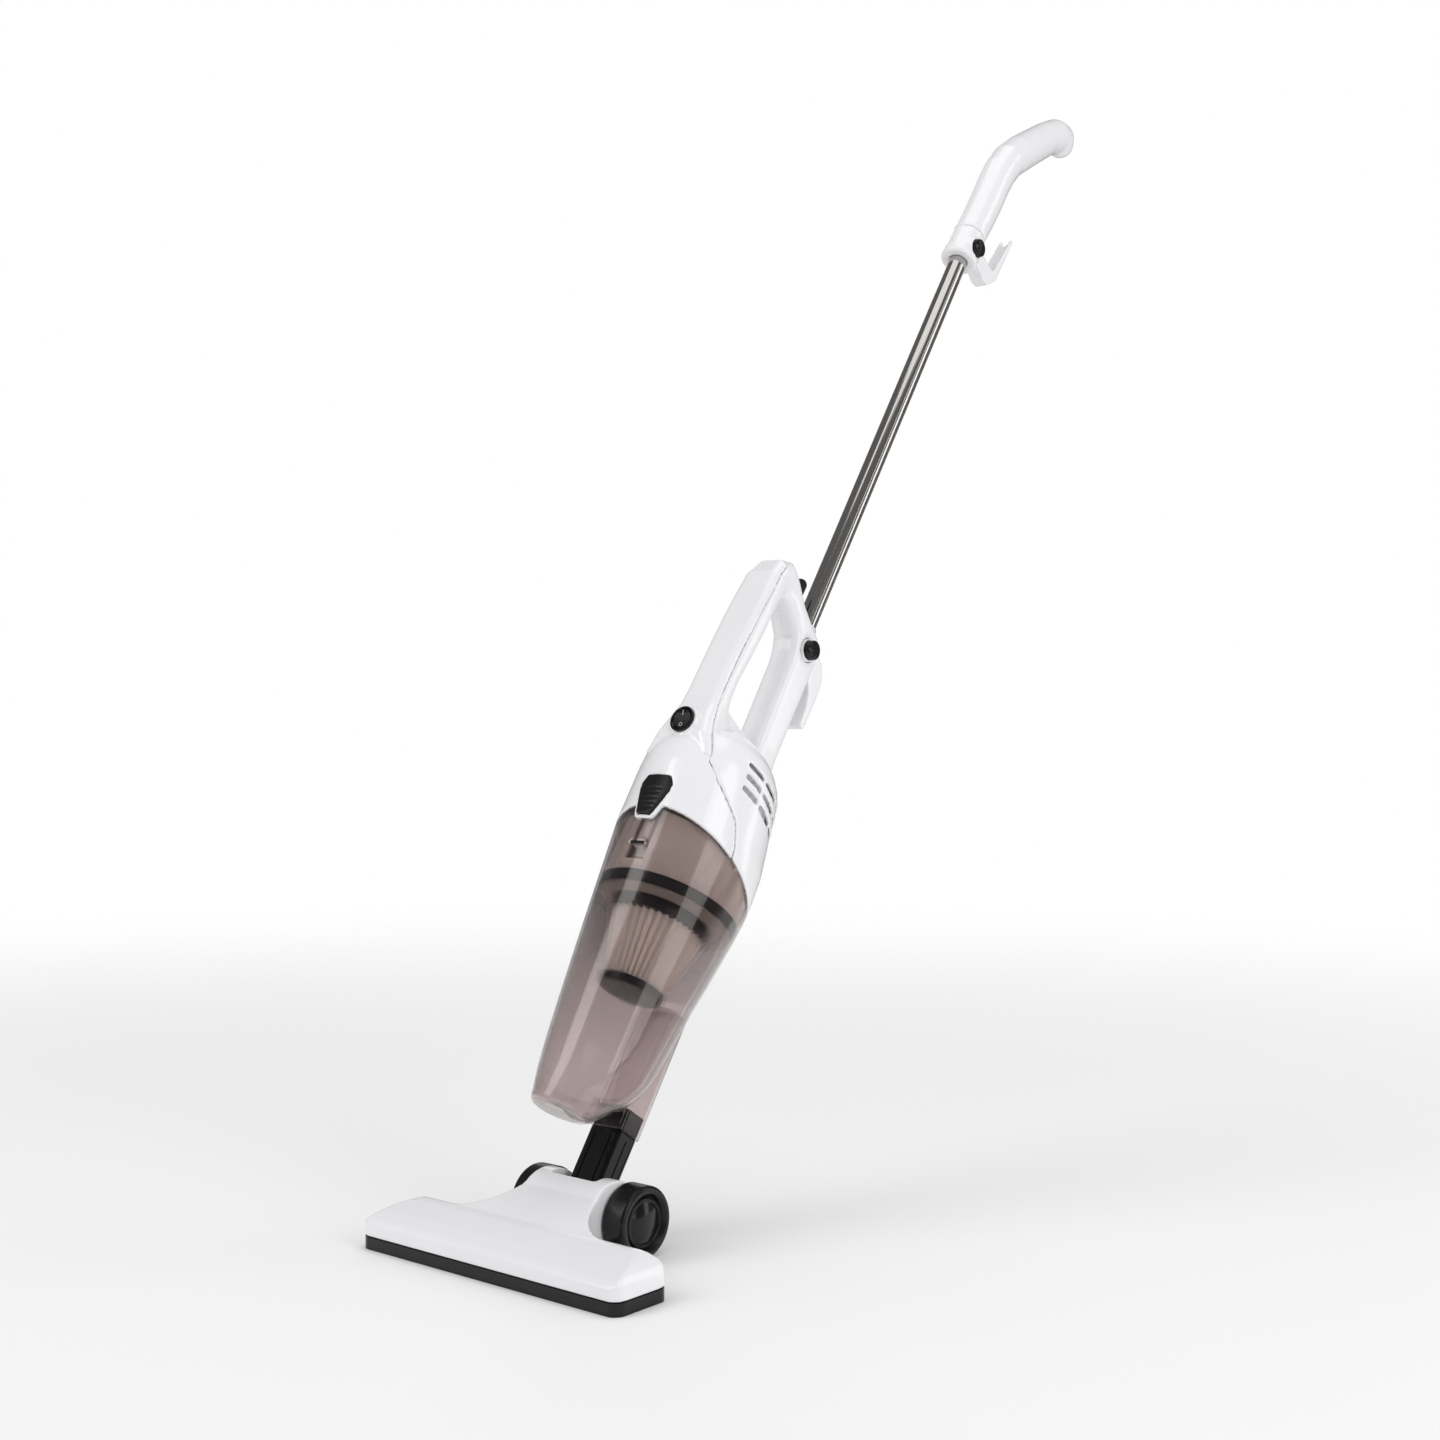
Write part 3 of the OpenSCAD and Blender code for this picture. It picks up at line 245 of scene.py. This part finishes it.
def moulded_plastic(name, colour, shade, roughness, grain_mm, depth_mm, coat=0.0, shine=0.5):
    """Injection-moulded plastic: a drift of tone 70 mm wide, and a fine grain in the gloss."""
    material = new_material(name)
    place = add(material, "ShaderNodeTexCoord")
    drift = add(material, "ShaderNodeTexNoise", {"Scale": 14, "Detail": 2}, {"Vector": (place, "Object")})
    tone = add(
        material,
        "ShaderNodeMix",
        {"data_type": "RGBA", "A": linear(colour), "B": linear(shade)},
        {"Factor": (drift, "Fac")},
    )
    grain = add(
        material, "ShaderNodeTexNoise", {"Scale": 1000 / grain_mm, "Detail": 3}, {"Vector": (place, "Object")}
    )
    gloss = add(
        material,
        "ShaderNodeMapRange",
        {"To Min": roughness * 0.85, "To Max": roughness * 1.2},
        {"Value": (grain, "Fac")},
    )
    bump = add(
        material,
        "ShaderNodeBump",
        {"Strength": 0.25, "Distance": depth_mm / 1000},
        {"Height": (grain, "Fac")},
    )
    body = add(
        material,
        "ShaderNodeBsdfPrincipled",
        {"IOR": 1.52, "Specular IOR Level": shine, "Coat Weight": coat, "Coat Roughness": 0.08},
        {"Base Color": (tone, 2), "Roughness": (gloss, "Result"), "Normal": (bump, "Normal")},
    )
    add(material, "ShaderNodeOutputMaterial", {}, {"Surface": (body, "BSDF")})
    return material


# White ABS from a polished mould: soft bright reflections, with a faint 0.9 mm orange peel.
white_abs = moulded_plastic("white gloss ABS", "#EFEFF1", "#E9E9EC", 0.2, 0.9, 0.006, coat=0.3)
# Black ABS from a polished mould: deep black with tight highlights and a 0.8 mm peel.
black_abs = moulded_plastic("black gloss ABS", "#0F0F11", "#141416", 0.16, 0.8, 0.006, shine=0.3)

all_soft = 180
cover = rubbed(skin("head_cover"), 1.0, 4)
make_piece(cover, "head_cover_moulding", "head", white_abs, ["head_cover"], all_soft)
make_piece(skin("head_base"), "head_base_moulding", "head", black_abs, ["head_base"], 12)

# ---------------------------------------------------------------- lint strips
# Two strips of short red nylon pile on a woven back, glued into grooves in the sole. They lift
# hairs off a carpet. Each point is pushed in by its own small amount, so that they look tufted.

# Red nylon pile, woven and cut: dull, with a soft sheen, in tufts 0.6 mm apart.
lint_pile = new_material("red nylon pile")
place = add(lint_pile, "ShaderNodeTexCoord")
tuft = add(lint_pile, "ShaderNodeTexVoronoi", {"Scale": 1600}, {"Vector": (place, "Object")})
tone = add(
    lint_pile,
    "ShaderNodeMix",
    {"data_type": "RGBA", "A": linear("#8E1F26"), "B": linear("#5E1016")},
    {"Factor": (tuft, "Distance")},
)
pile = add(lint_pile, "ShaderNodeBump", {"Strength": 0.8, "Distance": 0.0004}, {"Height": (tuft, "Distance")})
cloth = add(
    lint_pile,
    "ShaderNodeBsdfPrincipled",
    {"Roughness": 0.85, "Sheen Weight": 0.5, "Sheen Roughness": 0.4},
    {"Base Color": (tone, 2), "Normal": (pile, "Normal")},
)
add(lint_pile, "ShaderNodeOutputMaterial", {}, {"Surface": (cloth, "BSDF")})

least_push, more_push, tufts_per_m = 0.00015, 0.0003, 4000
tufts = rubbed(skin("lint_strips"), 0.4, 1)
tufts.normal_update()
pushes = [
    (vert, vert.normal * (least_push + noise.cell(vert.co * tufts_per_m) * more_push)) for vert in tufts.verts
]
for vert, push in pushes:
    vert.co -= push
make_piece(tufts, "lint_pile_strips", "head", lint_pile, ["lint_strips"], all_soft)


# ---------------------------------------------------------------- head screws and wheel pins
# Four screws of 3 mm cut their own thread in the cover and hold the base to it. The wheels' pins
# are plain rods of ground steel, pressed into bosses of the cover.
def bright_metal(name, colour, roughness, mottle_mm, depth_mm):
    """Bare metal with an even mottle in gloss and surface, that wide and deep in mm."""
    material = new_material(name)
    place = add(material, "ShaderNodeTexCoord")
    mottle = add(
        material,
        "ShaderNodeTexNoise",
        {"Scale": 1000 / mottle_mm, "Detail": 2},
        {"Vector": (place, "Object")},
    )
    gloss = add(
        material,
        "ShaderNodeMapRange",
        {"To Min": roughness * 0.7, "To Max": roughness * 1.3},
        {"Value": (mottle, "Fac")},
    )
    bump = add(
        material,
        "ShaderNodeBump",
        {"Strength": 0.3, "Distance": depth_mm / 1000},
        {"Height": (mottle, "Fac")},
    )
    metal = add(
        material,
        "ShaderNodeBsdfPrincipled",
        {"Base Color": linear(colour), "Metallic": 1.0},
        {"Roughness": (gloss, "Result"), "Normal": (bump, "Normal")},
    )
    add(material, "ShaderNodeOutputMaterial", {}, {"Surface": (metal, "BSDF")})
    return material


def finish_node(node, material):
    """A CAD node whose shape is right keeps it, and gets its finish."""
    slots = frame["nodes"][node].data.materials
    slots.clear()
    slots.append(material)


# Zinc-plated steel, barrel plated: a cool, half-dull shine with a 0.3 mm mottle.
zinc = bright_metal("zinc-plated steel", "#B9BCC0", 0.3, 0.3, 0.01)
# Ground steel: brighter than zinc. Real grinding marks are finer than this 0.2 mm mottle.
ground_steel = bright_metal("ground steel", "#C3C3C5", 0.22, 0.2, 0.005)
finish_node("head_screws", zinc)
finish_node("wheel_axles", ground_steel)

# ---------------------------------------------------------------- wheels
# Each wheel is a black polypropylene moulding with a deep groove between its rim and its disc. It
# turns on its pin, and a domed cap is pressed into the middle.

# Black polypropylene from an etched mould: satin, with a 0.6 mm texture.
tyre_black = moulded_plastic("black satin polypropylene", "#101012", "#151517", 0.28, 0.6, 0.015, shine=0.3)
for side in ("left", "right"):
    wheel, cap = "wheel_" + side, "wheel_cap_" + side
    make_piece(skin(wheel), "tyre_" + side, side + "_wheel", tyre_black, [wheel], 30)
    make_piece(skin(cap), "hub_cap_" + side, side + "_wheel", black_abs, [cap], 30)

# ---------------------------------------------------------------- neck
# The neck is the black ABS duct between head and cup. Its barrel turns in the head on two short
# trunnions, and grooves run down its front, its rear and its sides.
make_piece(skin("neck"), "neck_moulding", "cup_and_neck", black_abs, ["neck"], 18)

# ---------------------------------------------------------------- dust cup
# The cup is one clear moulding of smoke-tinted polycarbonate, 2 mm thick, with the rising duct
# in it. It is pushed up over the gasket, and the latch's tooth holds it by a slot in its wall.

# Smoke polycarbonate from a polished mould: clear and mauve-brown, with sharp reflections from
# its outer skin, and a slow 33 mm waviness. The low IOR keeps what lies behind in its place.
smoke = new_material("smoke polycarbonate")
place = add(smoke, "ShaderNodeTexCoord")
ripple = add(smoke, "ShaderNodeTexNoise", {"Scale": 30, "Detail": 1}, {"Vector": (place, "Object")})
bump = add(smoke, "ShaderNodeBump", {"Strength": 0.1, "Distance": 0.0003}, {"Height": (ripple, "Fac")})
tone = add(
    smoke,
    "ShaderNodeMix",
    {"data_type": "RGBA", "A": linear("#CDBDBC"), "B": linear("#C5B4B3")},
    {"Factor": (ripple, "Fac")},
)
clear = add(
    smoke,
    "ShaderNodeBsdfPrincipled",
    {
        "Roughness": 0.03,
        "IOR": 1.1,
        "Transmission Weight": 1.0,
        "Alpha": 0.68,
        "Coat Weight": 1.0,
        "Coat Roughness": 0.03,
    },
    {"Base Color": (tone, 2), "Normal": (bump, "Normal")},
)
add(smoke, "ShaderNodeOutputMaterial", {}, {"Surface": (clear, "BSDF")})

# The even mesh of the thin wall is dense, so the triangles that add least are dropped again.
cup = remade(rubbed(skin("dust_cup"), 1.1, 3), "DECIMATE", ratio=0.6)
make_piece(cup, "dust_cup_moulding", "cup_and_neck", smoke, ["dust_cup"], all_soft)

# ---------------------------------------------------------------- gasket and filter
# A black rubber seal sits round the plug under the bulkhead. The filter's black ring fits on a
# milky holder, and cream paper pleats are glued between that ring and a black cap.

# Black rubber, compression moulded: dull, with a 0.5 mm grain.
rubber = moulded_plastic("black rubber", "#0D0D0F", "#121214", 0.5, 0.5, 0.02, shine=0.3)
# Black ABS from a fine-etched mould: satin, with a 0.5 mm texture.
black_satin = moulded_plastic("black satin ABS", "#0F0F11", "#141416", 0.26, 0.5, 0.012, shine=0.35)
make_piece(skin("cup_gasket"), "cup_seal", "hand_unit", rubber, ["cup_gasket"], 30)
make_piece(
    skin("filter_ring"), "filter_top_ring", "hand_unit", black_satin, ["filter_ring"], 30
)
make_piece(skin("filter_cap"), "filter_end_cap", "hand_unit", black_satin, ["filter_cap"], 30)

# Pleated filter paper, pressed felt: chalky and off-white, with fibres drawn 1.1 mm wide,
# coarser than real, so that they show.
pleat_paper = new_material("pleated filter paper")
place = add(pleat_paper, "ShaderNodeTexCoord")
felt = add(pleat_paper, "ShaderNodeTexNoise", {"Scale": 900, "Detail": 4}, {"Vector": (place, "Object")})
tone = add(
    pleat_paper,
    "ShaderNodeMix",
    {"data_type": "RGBA", "A": linear("#FCF9F4"), "B": linear("#F3ECE3")},
    {"Factor": (felt, "Fac")},
)
tooth = add(pleat_paper, "ShaderNodeBump", {"Strength": 0.4, "Distance": 0.0002}, {"Height": (felt, "Fac")})
paper = add(
    pleat_paper,
    "ShaderNodeBsdfPrincipled",
    {"Roughness": 0.9},
    {"Base Color": (tone, 2), "Normal": (tooth, "Normal")},
)
add(pleat_paper, "ShaderNodeOutputMaterial", {}, {"Surface": (paper, "BSDF")})
finish_node("filter_pleats", pleat_paper)

# Milky polypropylene, moulded: it lets light through and hides form, with 17 mm clouds.
beige_clear = new_material("milky clear polypropylene")
place = add(beige_clear, "ShaderNodeTexCoord")
cloud = add(beige_clear, "ShaderNodeTexNoise", {"Scale": 60, "Detail": 2}, {"Vector": (place, "Object")})
gloss = add(beige_clear, "ShaderNodeMapRange", {"To Min": 0.12, "To Max": 0.22}, {"Value": (cloud, "Fac")})
milk = add(
    beige_clear,
    "ShaderNodeBsdfPrincipled",
    {"Base Color": linear("#E6DED2"), "IOR": 1.49, "Transmission Weight": 0.6},
    {"Roughness": (gloss, "Result")},
)
add(beige_clear, "ShaderNodeOutputMaterial", {}, {"Surface": (milk, "BSDF")})
make_piece(
    skin("filter_holder"), "filter_seat", "hand_unit", beige_clear, ["filter_holder"], 30
)

# ---------------------------------------------------------------- bulkhead
# The bulkhead is a beige ABS moulding that closes the hand unit towards the cup, with lugs against
# the two halves. Its skirt shows through the cup's upper part, and is slotted for the latch's arm.

# Beige ABS from a plain mould: low shine, with a 0.8 mm peel.
beige_abs = moulded_plastic("beige ABS", "#F3ECE4", "#EBE3DA", 0.35, 0.8, 0.01)

# The stick's own frame in mm: up along the tube, with the front at -Y.
joint = {row["name"]: row for row in frame["joints"]}
along = Vector(joint["tube_pull_out"]["axis"])
lean = math.atan2(along.y, along.z)
hinge_to_axis_m = 0.0164
stick = (
    Matrix.Translation(joint["head_tilt"]["pos_m"])
    @ Matrix.Rotation(-lean, 4, "X")
    @ Matrix.Translation((0, -hinge_to_axis_m, 0))
    @ Matrix.Scale(0.001, 4)
)


def curved_wall(foot_r, top_r, height, middle, cuts):
    """A round wall in the stick's frame, with all that lies beyond each cut taken away."""
    wall = bmesh.new()
    bmesh.ops.create_cone(wall, segments=96, radius1=foot_r, radius2=top_r, depth=height)
    bmesh.ops.translate(wall, verts=wall.verts, vec=middle)
    for place, away in cuts:
        bmesh.ops.bisect_plane(
            wall,
            geom=wall.verts[:] + wall.edges[:] + wall.faces[:],
            plane_co=place,
            plane_no=away,
            clear_outer=True,
        )
    return wall


def thickened(wall, thickness):
    """Gives a round wall its thickness in mm, and sets it in the world."""
    bmesh.ops.recalc_face_normals(wall, faces=wall.faces)
    bmesh.ops.solidify(wall, geom=wall.faces[:], thickness=thickness)
    bmesh.ops.transform(wall, verts=wall.verts, matrix=stick)
    return wall


def moulded_on(form, wall):
    """Makes a wall part of a form."""
    mesh = bpy.data.meshes.new("wall")
    wall.to_mesh(mesh)
    wall.free()
    form.from_mesh(mesh)
    bpy.data.meshes.remove(mesh)


cup_axis_y = -19.6
slanted_rim = ((0, 0, 236.6), (0, 0.4, 1))
skirt_r, skirt_wall, arm_slot = 51.2, 2.2, 8.2
liner_r, liner_wall, liner_half = 44.6, 1.0, 13
bulkhead = skin("motor_bulkhead")

skirt = curved_wall(skirt_r, skirt_r, 22, (0, cup_axis_y, 260.8), [slanted_rim])
for edge_x in (-arm_slot, arm_slot):
    bmesh.ops.bisect_plane(
        skirt,
        geom=skirt.verts[:] + skirt.edges[:] + skirt.faces[:],
        plane_co=(edge_x, 0, 0),
        plane_no=(1, 0, 0),
    )
slot_faces = []
for face in skirt.faces:
    middle = face.calc_center_median()
    if abs(middle.x) < arm_slot and middle.y < -50:
        slot_faces.append(face)
bmesh.ops.delete(skirt, geom=slot_faces, context="FACES")
moulded_on(bulkhead, thickened(skirt, skirt_wall))

# Behind the latch's arm a liner closes the view into the motor's room, and leaves the arm its play.
liner_cuts = [
    slanted_rim,
    ((liner_half, 0, 0), (1, 0, 0)),
    ((-liner_half, 0, 0), (-1, 0, 0)),
    ((0, -50, 0), (0, 1, 0)),
]
liner = curved_wall(liner_r, liner_r, 42, (0, cup_axis_y, 243), liner_cuts)
moulded_on(bulkhead, thickened(liner, liner_wall))
make_piece(bulkhead, "bulkhead_moulding", "hand_unit", beige_abs, ["motor_bulkhead"], 30)

# ---------------------------------------------------------------- motor
# A universal motor sits behind the bulkhead in two rubber mounts: a fan under its cover, a
# laminated stator, a wound armature with its commutator, and two carbon brushes.

# Zinc-plated sheet steel, pressed: grey and half dull, with a 0.4 mm mottle.
finish_node("motor_frame", bright_metal("zinc-plated motor frame", "#A9ABAF", 0.35, 0.4, 0.01))
# Stacked core steel, varnished: mid grey, with a 0.5 mm mottle; the sheets are not drawn.
finish_node("motor_stator", bright_metal("laminated core steel", "#75767A", 0.45, 0.5, 0.03))
# Enamelled copper wire, wound tight: a warm red-brown shine, with a 0.5 mm mottle for turns.
finish_node("motor_armature", bright_metal("enamelled copper winding", "#A5562C", 0.35, 0.5, 0.08))
finish_node("motor_shaft", ground_steel)
# Copper bars, turned: light copper with a 0.5 mm mottle.
finish_node("commutator", bright_metal("copper bars", "#C27A4C", 0.3, 0.5, 0.02))
finish_node("motor_bearings", ground_steel)
# Brush carbon, pressed and sintered: near black and dull, with a 0.4 mm grain.
finish_node("carbon_brushes", moulded_plastic("brush carbon", "#2B2B2D", "#1F1F21", 0.6, 0.4, 0.02))
# Glass-filled nylon, moulded: dark grey and dull, with a 0.5 mm grain.
finish_node("impeller", moulded_plastic("glass-filled nylon", "#3A3A3D", "#333336", 0.45, 0.5, 0.02))
# Spun aluminium: pale and bright, with a 0.5 mm mottle; the spinning marks are not drawn.
finish_node("impeller_cover", bright_metal("spun aluminium", "#C9CBCE", 0.32, 0.5, 0.01))
finish_node("motor_mount_front", rubber)
finish_node("motor_mount_rear", rubber)

# ---------------------------------------------------------------- hand unit
# Two white ABS halves, screwed together along the middle, form the body and the loop handle.
# They are rubbed as one shell and then parted, so that the seam is a hairline.
flat = stick.inverted()
sides = (("left", -1), ("right", 1))


def by_a_vent(place):
    """True near the vents, whose edges stay crisp."""
    spot = flat @ place
    return abs(spot.x) > 30 and -50 < spot.y < 13 and 293 < spot.z < 322


def part_in_halves(shell, piece, body, node):
    """Parts a shell along its middle, closes both cuts, and makes a piece of each half."""
    half_seam = 0.00004
    for side, sign in sides:
        half = shell.copy()
        bmesh.ops.bisect_plane(
            half,
            geom=half.verts[:] + half.edges[:] + half.faces[:],
            dist=0.00001,
            plane_co=(sign * half_seam, 0, 0),
            plane_no=(-sign, 0, 0),
            clear_outer=True,
        )
        rim = [edge for edge in half.edges if edge.is_boundary]
        bmesh.ops.triangle_fill(half, edges=rim, use_beauty=True)
        bmesh.ops.recalc_face_normals(half, faces=half.faces)
        make_piece(half, piece + side, body, white_abs, [node + side], 50)
    shell.free()


hand_shell = rubbed(skin("housing_left", "housing_right"), 1.15, 7, by_a_vent)
part_in_halves(hand_shell, "housing_shell_", "hand_unit", "housing_")

# Behind the vents each half has a tapered baffle, 1.2 mm thick, that keeps fingers off the motor.
for side, sign in sides:
    baffle_cuts = [((sign * 20, 0, 0), (-sign, 0, 0)), ((0, 13, 0), (0, 1, 0)), ((0, -54, 0), (0, -1, 0))]
    baffle = thickened(curved_wall(47.6, 43.4, 38, (0, -27.6, 307), baffle_cuts), 1.2)
    make_piece(baffle, "vent_baffle_" + side, "hand_unit", white_abs)

# White ABS of the panel, from a mirror-polished mould: the glossiest white, with a 0.9 mm peel.
white_panel = moulded_plastic("white panel ABS", "#EFEFF1", "#E9E9EC", 0.18, 0.9, 0.005, coat=0.4)
panel = rubbed(skin("front_panel"), 0.8, 1)
make_piece(panel, "front_panel_moulding", "hand_unit", white_panel, ["front_panel"], all_soft)
finish_node("housing_screws", zinc)

# ---------------------------------------------------------------- switch
# A round black rocker tips on its pin in a black ABS bezel, which sits in a bore of the panel. Its
# two marks are printed: a bar for on above, a ring for off below.
make_piece(skin("switch_body"), "switch_bezel", "hand_unit", black_abs, ["switch_body"], 30)
rocker = skin("switch_rocker")
face_of_rocker = BVHTree.FromBMesh(rocker)
make_piece(rocker, "rocker", "rocker", black_satin, ["switch_rocker"], 30)

# Light grey ink, pad printed: flat and dull, broken by 0.2 mm specks.
print_white = new_material("pad-printed light grey ink")
place = add(print_white, "ShaderNodeTexCoord")
speck = add(print_white, "ShaderNodeTexNoise", {"Scale": 5000, "Detail": 2}, {"Vector": (place, "Object")})
tone = add(
    print_white,
    "ShaderNodeMix",
    {"data_type": "RGBA", "A": linear("#B9B9BC"), "B": linear("#8F8F93")},
    {"Factor": (speck, "Fac")},
)
ink = add(print_white, "ShaderNodeBsdfPrincipled", {"Roughness": 0.5}, {"Base Color": (tone, 2)})
add(print_white, "ShaderNodeOutputMaterial", {}, {"Surface": (ink, "BSDF")})

bar_size, mark_off_middle, ring_outer_r, ring_inner_r, rocker_z = (0.7, 3.4, 1), 4.3, 1.6, 1.1, 335
marks = bmesh.new()
bmesh.ops.create_grid(marks, x_segments=2, y_segments=6, size=0.5)
bmesh.ops.scale(marks, verts=marks.verts, vec=bar_size)
bmesh.ops.translate(marks, verts=marks.verts, vec=(0, mark_off_middle, 0))
outer = bmesh.ops.create_circle(marks, segments=32, radius=ring_outer_r)["verts"]
inner = bmesh.ops.create_circle(marks, segments=32, radius=ring_inner_r)["verts"]
bmesh.ops.translate(marks, verts=outer + inner, vec=(0, -mark_off_middle, 0))
bmesh.ops.bridge_loops(marks, edges=[edge for edge in marks.edges if edge.is_wire])
turn = stick.to_3x3().normalized()
inwards = turn @ Vector((0, 1, 0))
for vert in marks.verts:
    start = stick @ Vector((vert.co.x, -100, rocker_z + vert.co.y))
    hit = face_of_rocker.ray_cast(start, inwards)[0]
    vert.co = hit - inwards * 0.00004
bmesh.ops.recalc_face_normals(marks, faces=marks.faces)
bmesh.ops.solidify(marks, geom=marks.faces[:], thickness=0.00003)
make_piece(marks, "rocker_marks", "rocker", print_white, angle=30)

# ---------------------------------------------------------------- release button and its spring
# The black button lets the cup go, and a coil spring pushes it out. Its arm reaches down inside
# the cup and is drawn in the bulkhead's beige. Only its tooth, behind the cup's slot, stays black,
# and that black band is made wider than the tooth, as painted shade inside the slot.
button = rubbed(skin("release_button"), 0.45, 2)
key = make_piece(button, "release_key", "release", black_satin, ["release_button"], all_soft)
key.data.materials.append(beige_abs)
for face in key.data.polygons:
    spot = flat @ face.center
    on_arm = spot.z < 252 or (spot.z < 262 and spot.y > -72)
    # The black band is the tooth's own black, widened round it into painted shade seen through the cup's
    # slot.
    tooth_and_slot_shade = abs(spot.z - 235.4) < 3.6 and spot.y < -71.6 and abs(spot.x) < 6.6
    if on_arm and not tooth_and_slot_shade:
        face.material_index = 1

# Spring wire, drawn: mid grey and half bright, with a 0.3 mm mottle.
spring_wire = bright_metal("spring wire", "#8F9298", 0.3, 0.3, 0.01)


def coil_spring(node, press, wire_mm, turns):
    """A coil of drawn wire in place of its plain sleeve."""
    upright = Vector((0, 0, 1)).rotation_difference(press).to_matrix().to_4x4()
    sleeve = [upright.inverted() @ vert.co for vert in frame["nodes"][node].data.vertices]
    low = Vector([min(vert[i] for vert in sleeve) for i in range(3)])
    high = Vector([max(vert[i] for vert in sleeve) for i in range(3)])
    wire_r = wire_mm / 2000
    length = high.z - low.z
    coil_r = (high.x - low.x) / 2 - wire_r
    steps = turns * 20
    coil = bmesh.new()
    bmesh.ops.create_circle(coil, segments=8, radius=wire_r)
    bmesh.ops.rotate(coil, verts=coil.verts, matrix=Matrix.Rotation(math.pi / 2, 3, "X"))
    bmesh.ops.translate(coil, verts=coil.verts, vec=(coil_r, 0, wire_r))
    bmesh.ops.spin(
        coil,
        geom=coil.verts[:] + coil.edges[:],
        cent=(0, 0, 0),
        axis=(0, 0, 1),
        dvec=(0, 0, (length - 2 * wire_r) / steps),
        angle=turns * 2 * math.pi,
        steps=steps,
    )
    bmesh.ops.holes_fill(coil, edges=coil.edges)
    bmesh.ops.recalc_face_normals(coil, faces=coil.faces)
    middle = (low + high) / 2
    bmesh.ops.translate(coil, verts=coil.verts, vec=(middle.x, middle.y, low.z))
    bmesh.ops.transform(coil, verts=coil.verts, matrix=upright)
    body = "tube_and_grip" if node == "handle_lock_spring" else "hand_unit"
    spring = make_piece(coil, node + "_coil", body, spring_wire, [node], 60)
    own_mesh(spring)


coil_spring("release_spring", Vector(joint["release_press"]["axis"]), 0.6, 5)

# ---------------------------------------------------------------- tube socket and lower hook
# The white ABS socket takes the steel tube, and a sprung black button locks it. The hook below
# holds wound cord, and the cord comes out through a rubber gland.
from_the_right = Vector((-1, 0, 0))
make_piece(skin("tube_socket"), "socket_sleeve", "hand_unit", white_abs, ["tube_socket"], 30)
lock = skin("tube_lock_button")
make_piece(lock, "lower_lock_key", "lower_lock", black_satin, ["tube_lock_button"], 30)
coil_spring("tube_lock_spring", from_the_right, 0.5, 5)
hook = rubbed(skin("lower_cord_hook"), 0.8, 4)
make_piece(hook, "lower_hook", "hand_unit", white_abs, ["lower_cord_hook"], all_soft)
make_piece(skin("cord_gland"), "cord_relief", "hand_unit", rubber, ["cord_gland"], 30)

# ---------------------------------------------------------------- steel tube
# The tube is drawn stainless steel, 16 mm outside, cut square, and pushed into socket and collar.
# Two holes near its ends take the pins of the lock buttons.

# Stainless steel, polished: it mirrors the room in long stripes. Its 0.25 mm mottle only changes
# the gloss, since a polished skin has no depth to show.
polished = bright_metal("polished stainless steel", "#C4C1BE", 0.1, 0.25, 0.0)
make_piece(
    skin("extension_tube"), "steel_tube", "tube_and_grip", polished, ["extension_tube"], 30
)

# ---------------------------------------------------------------- grip
# A white ABS collar with the upper hook and a lock button takes the tube. On it sits a bent grip
# in two halves that are screwed together.
collar = rubbed(skin("handle_collar"), 0.8, 4)
make_piece(collar, "grip_collar", "tube_and_grip", white_abs, ["handle_collar"], all_soft)
grip_shell = rubbed(skin("handle_left", "handle_right"), 1.0, 9)
part_in_halves(grip_shell, "grip_shell_", "tube_and_grip", "handle_")
finish_node("handle_screws", zinc)
lock = skin("handle_lock_button")
make_piece(lock, "upper_lock_key", "upper_lock", black_satin, ["handle_lock_button"], 30)
coil_spring("handle_lock_spring", from_the_right, 0.5, 5)
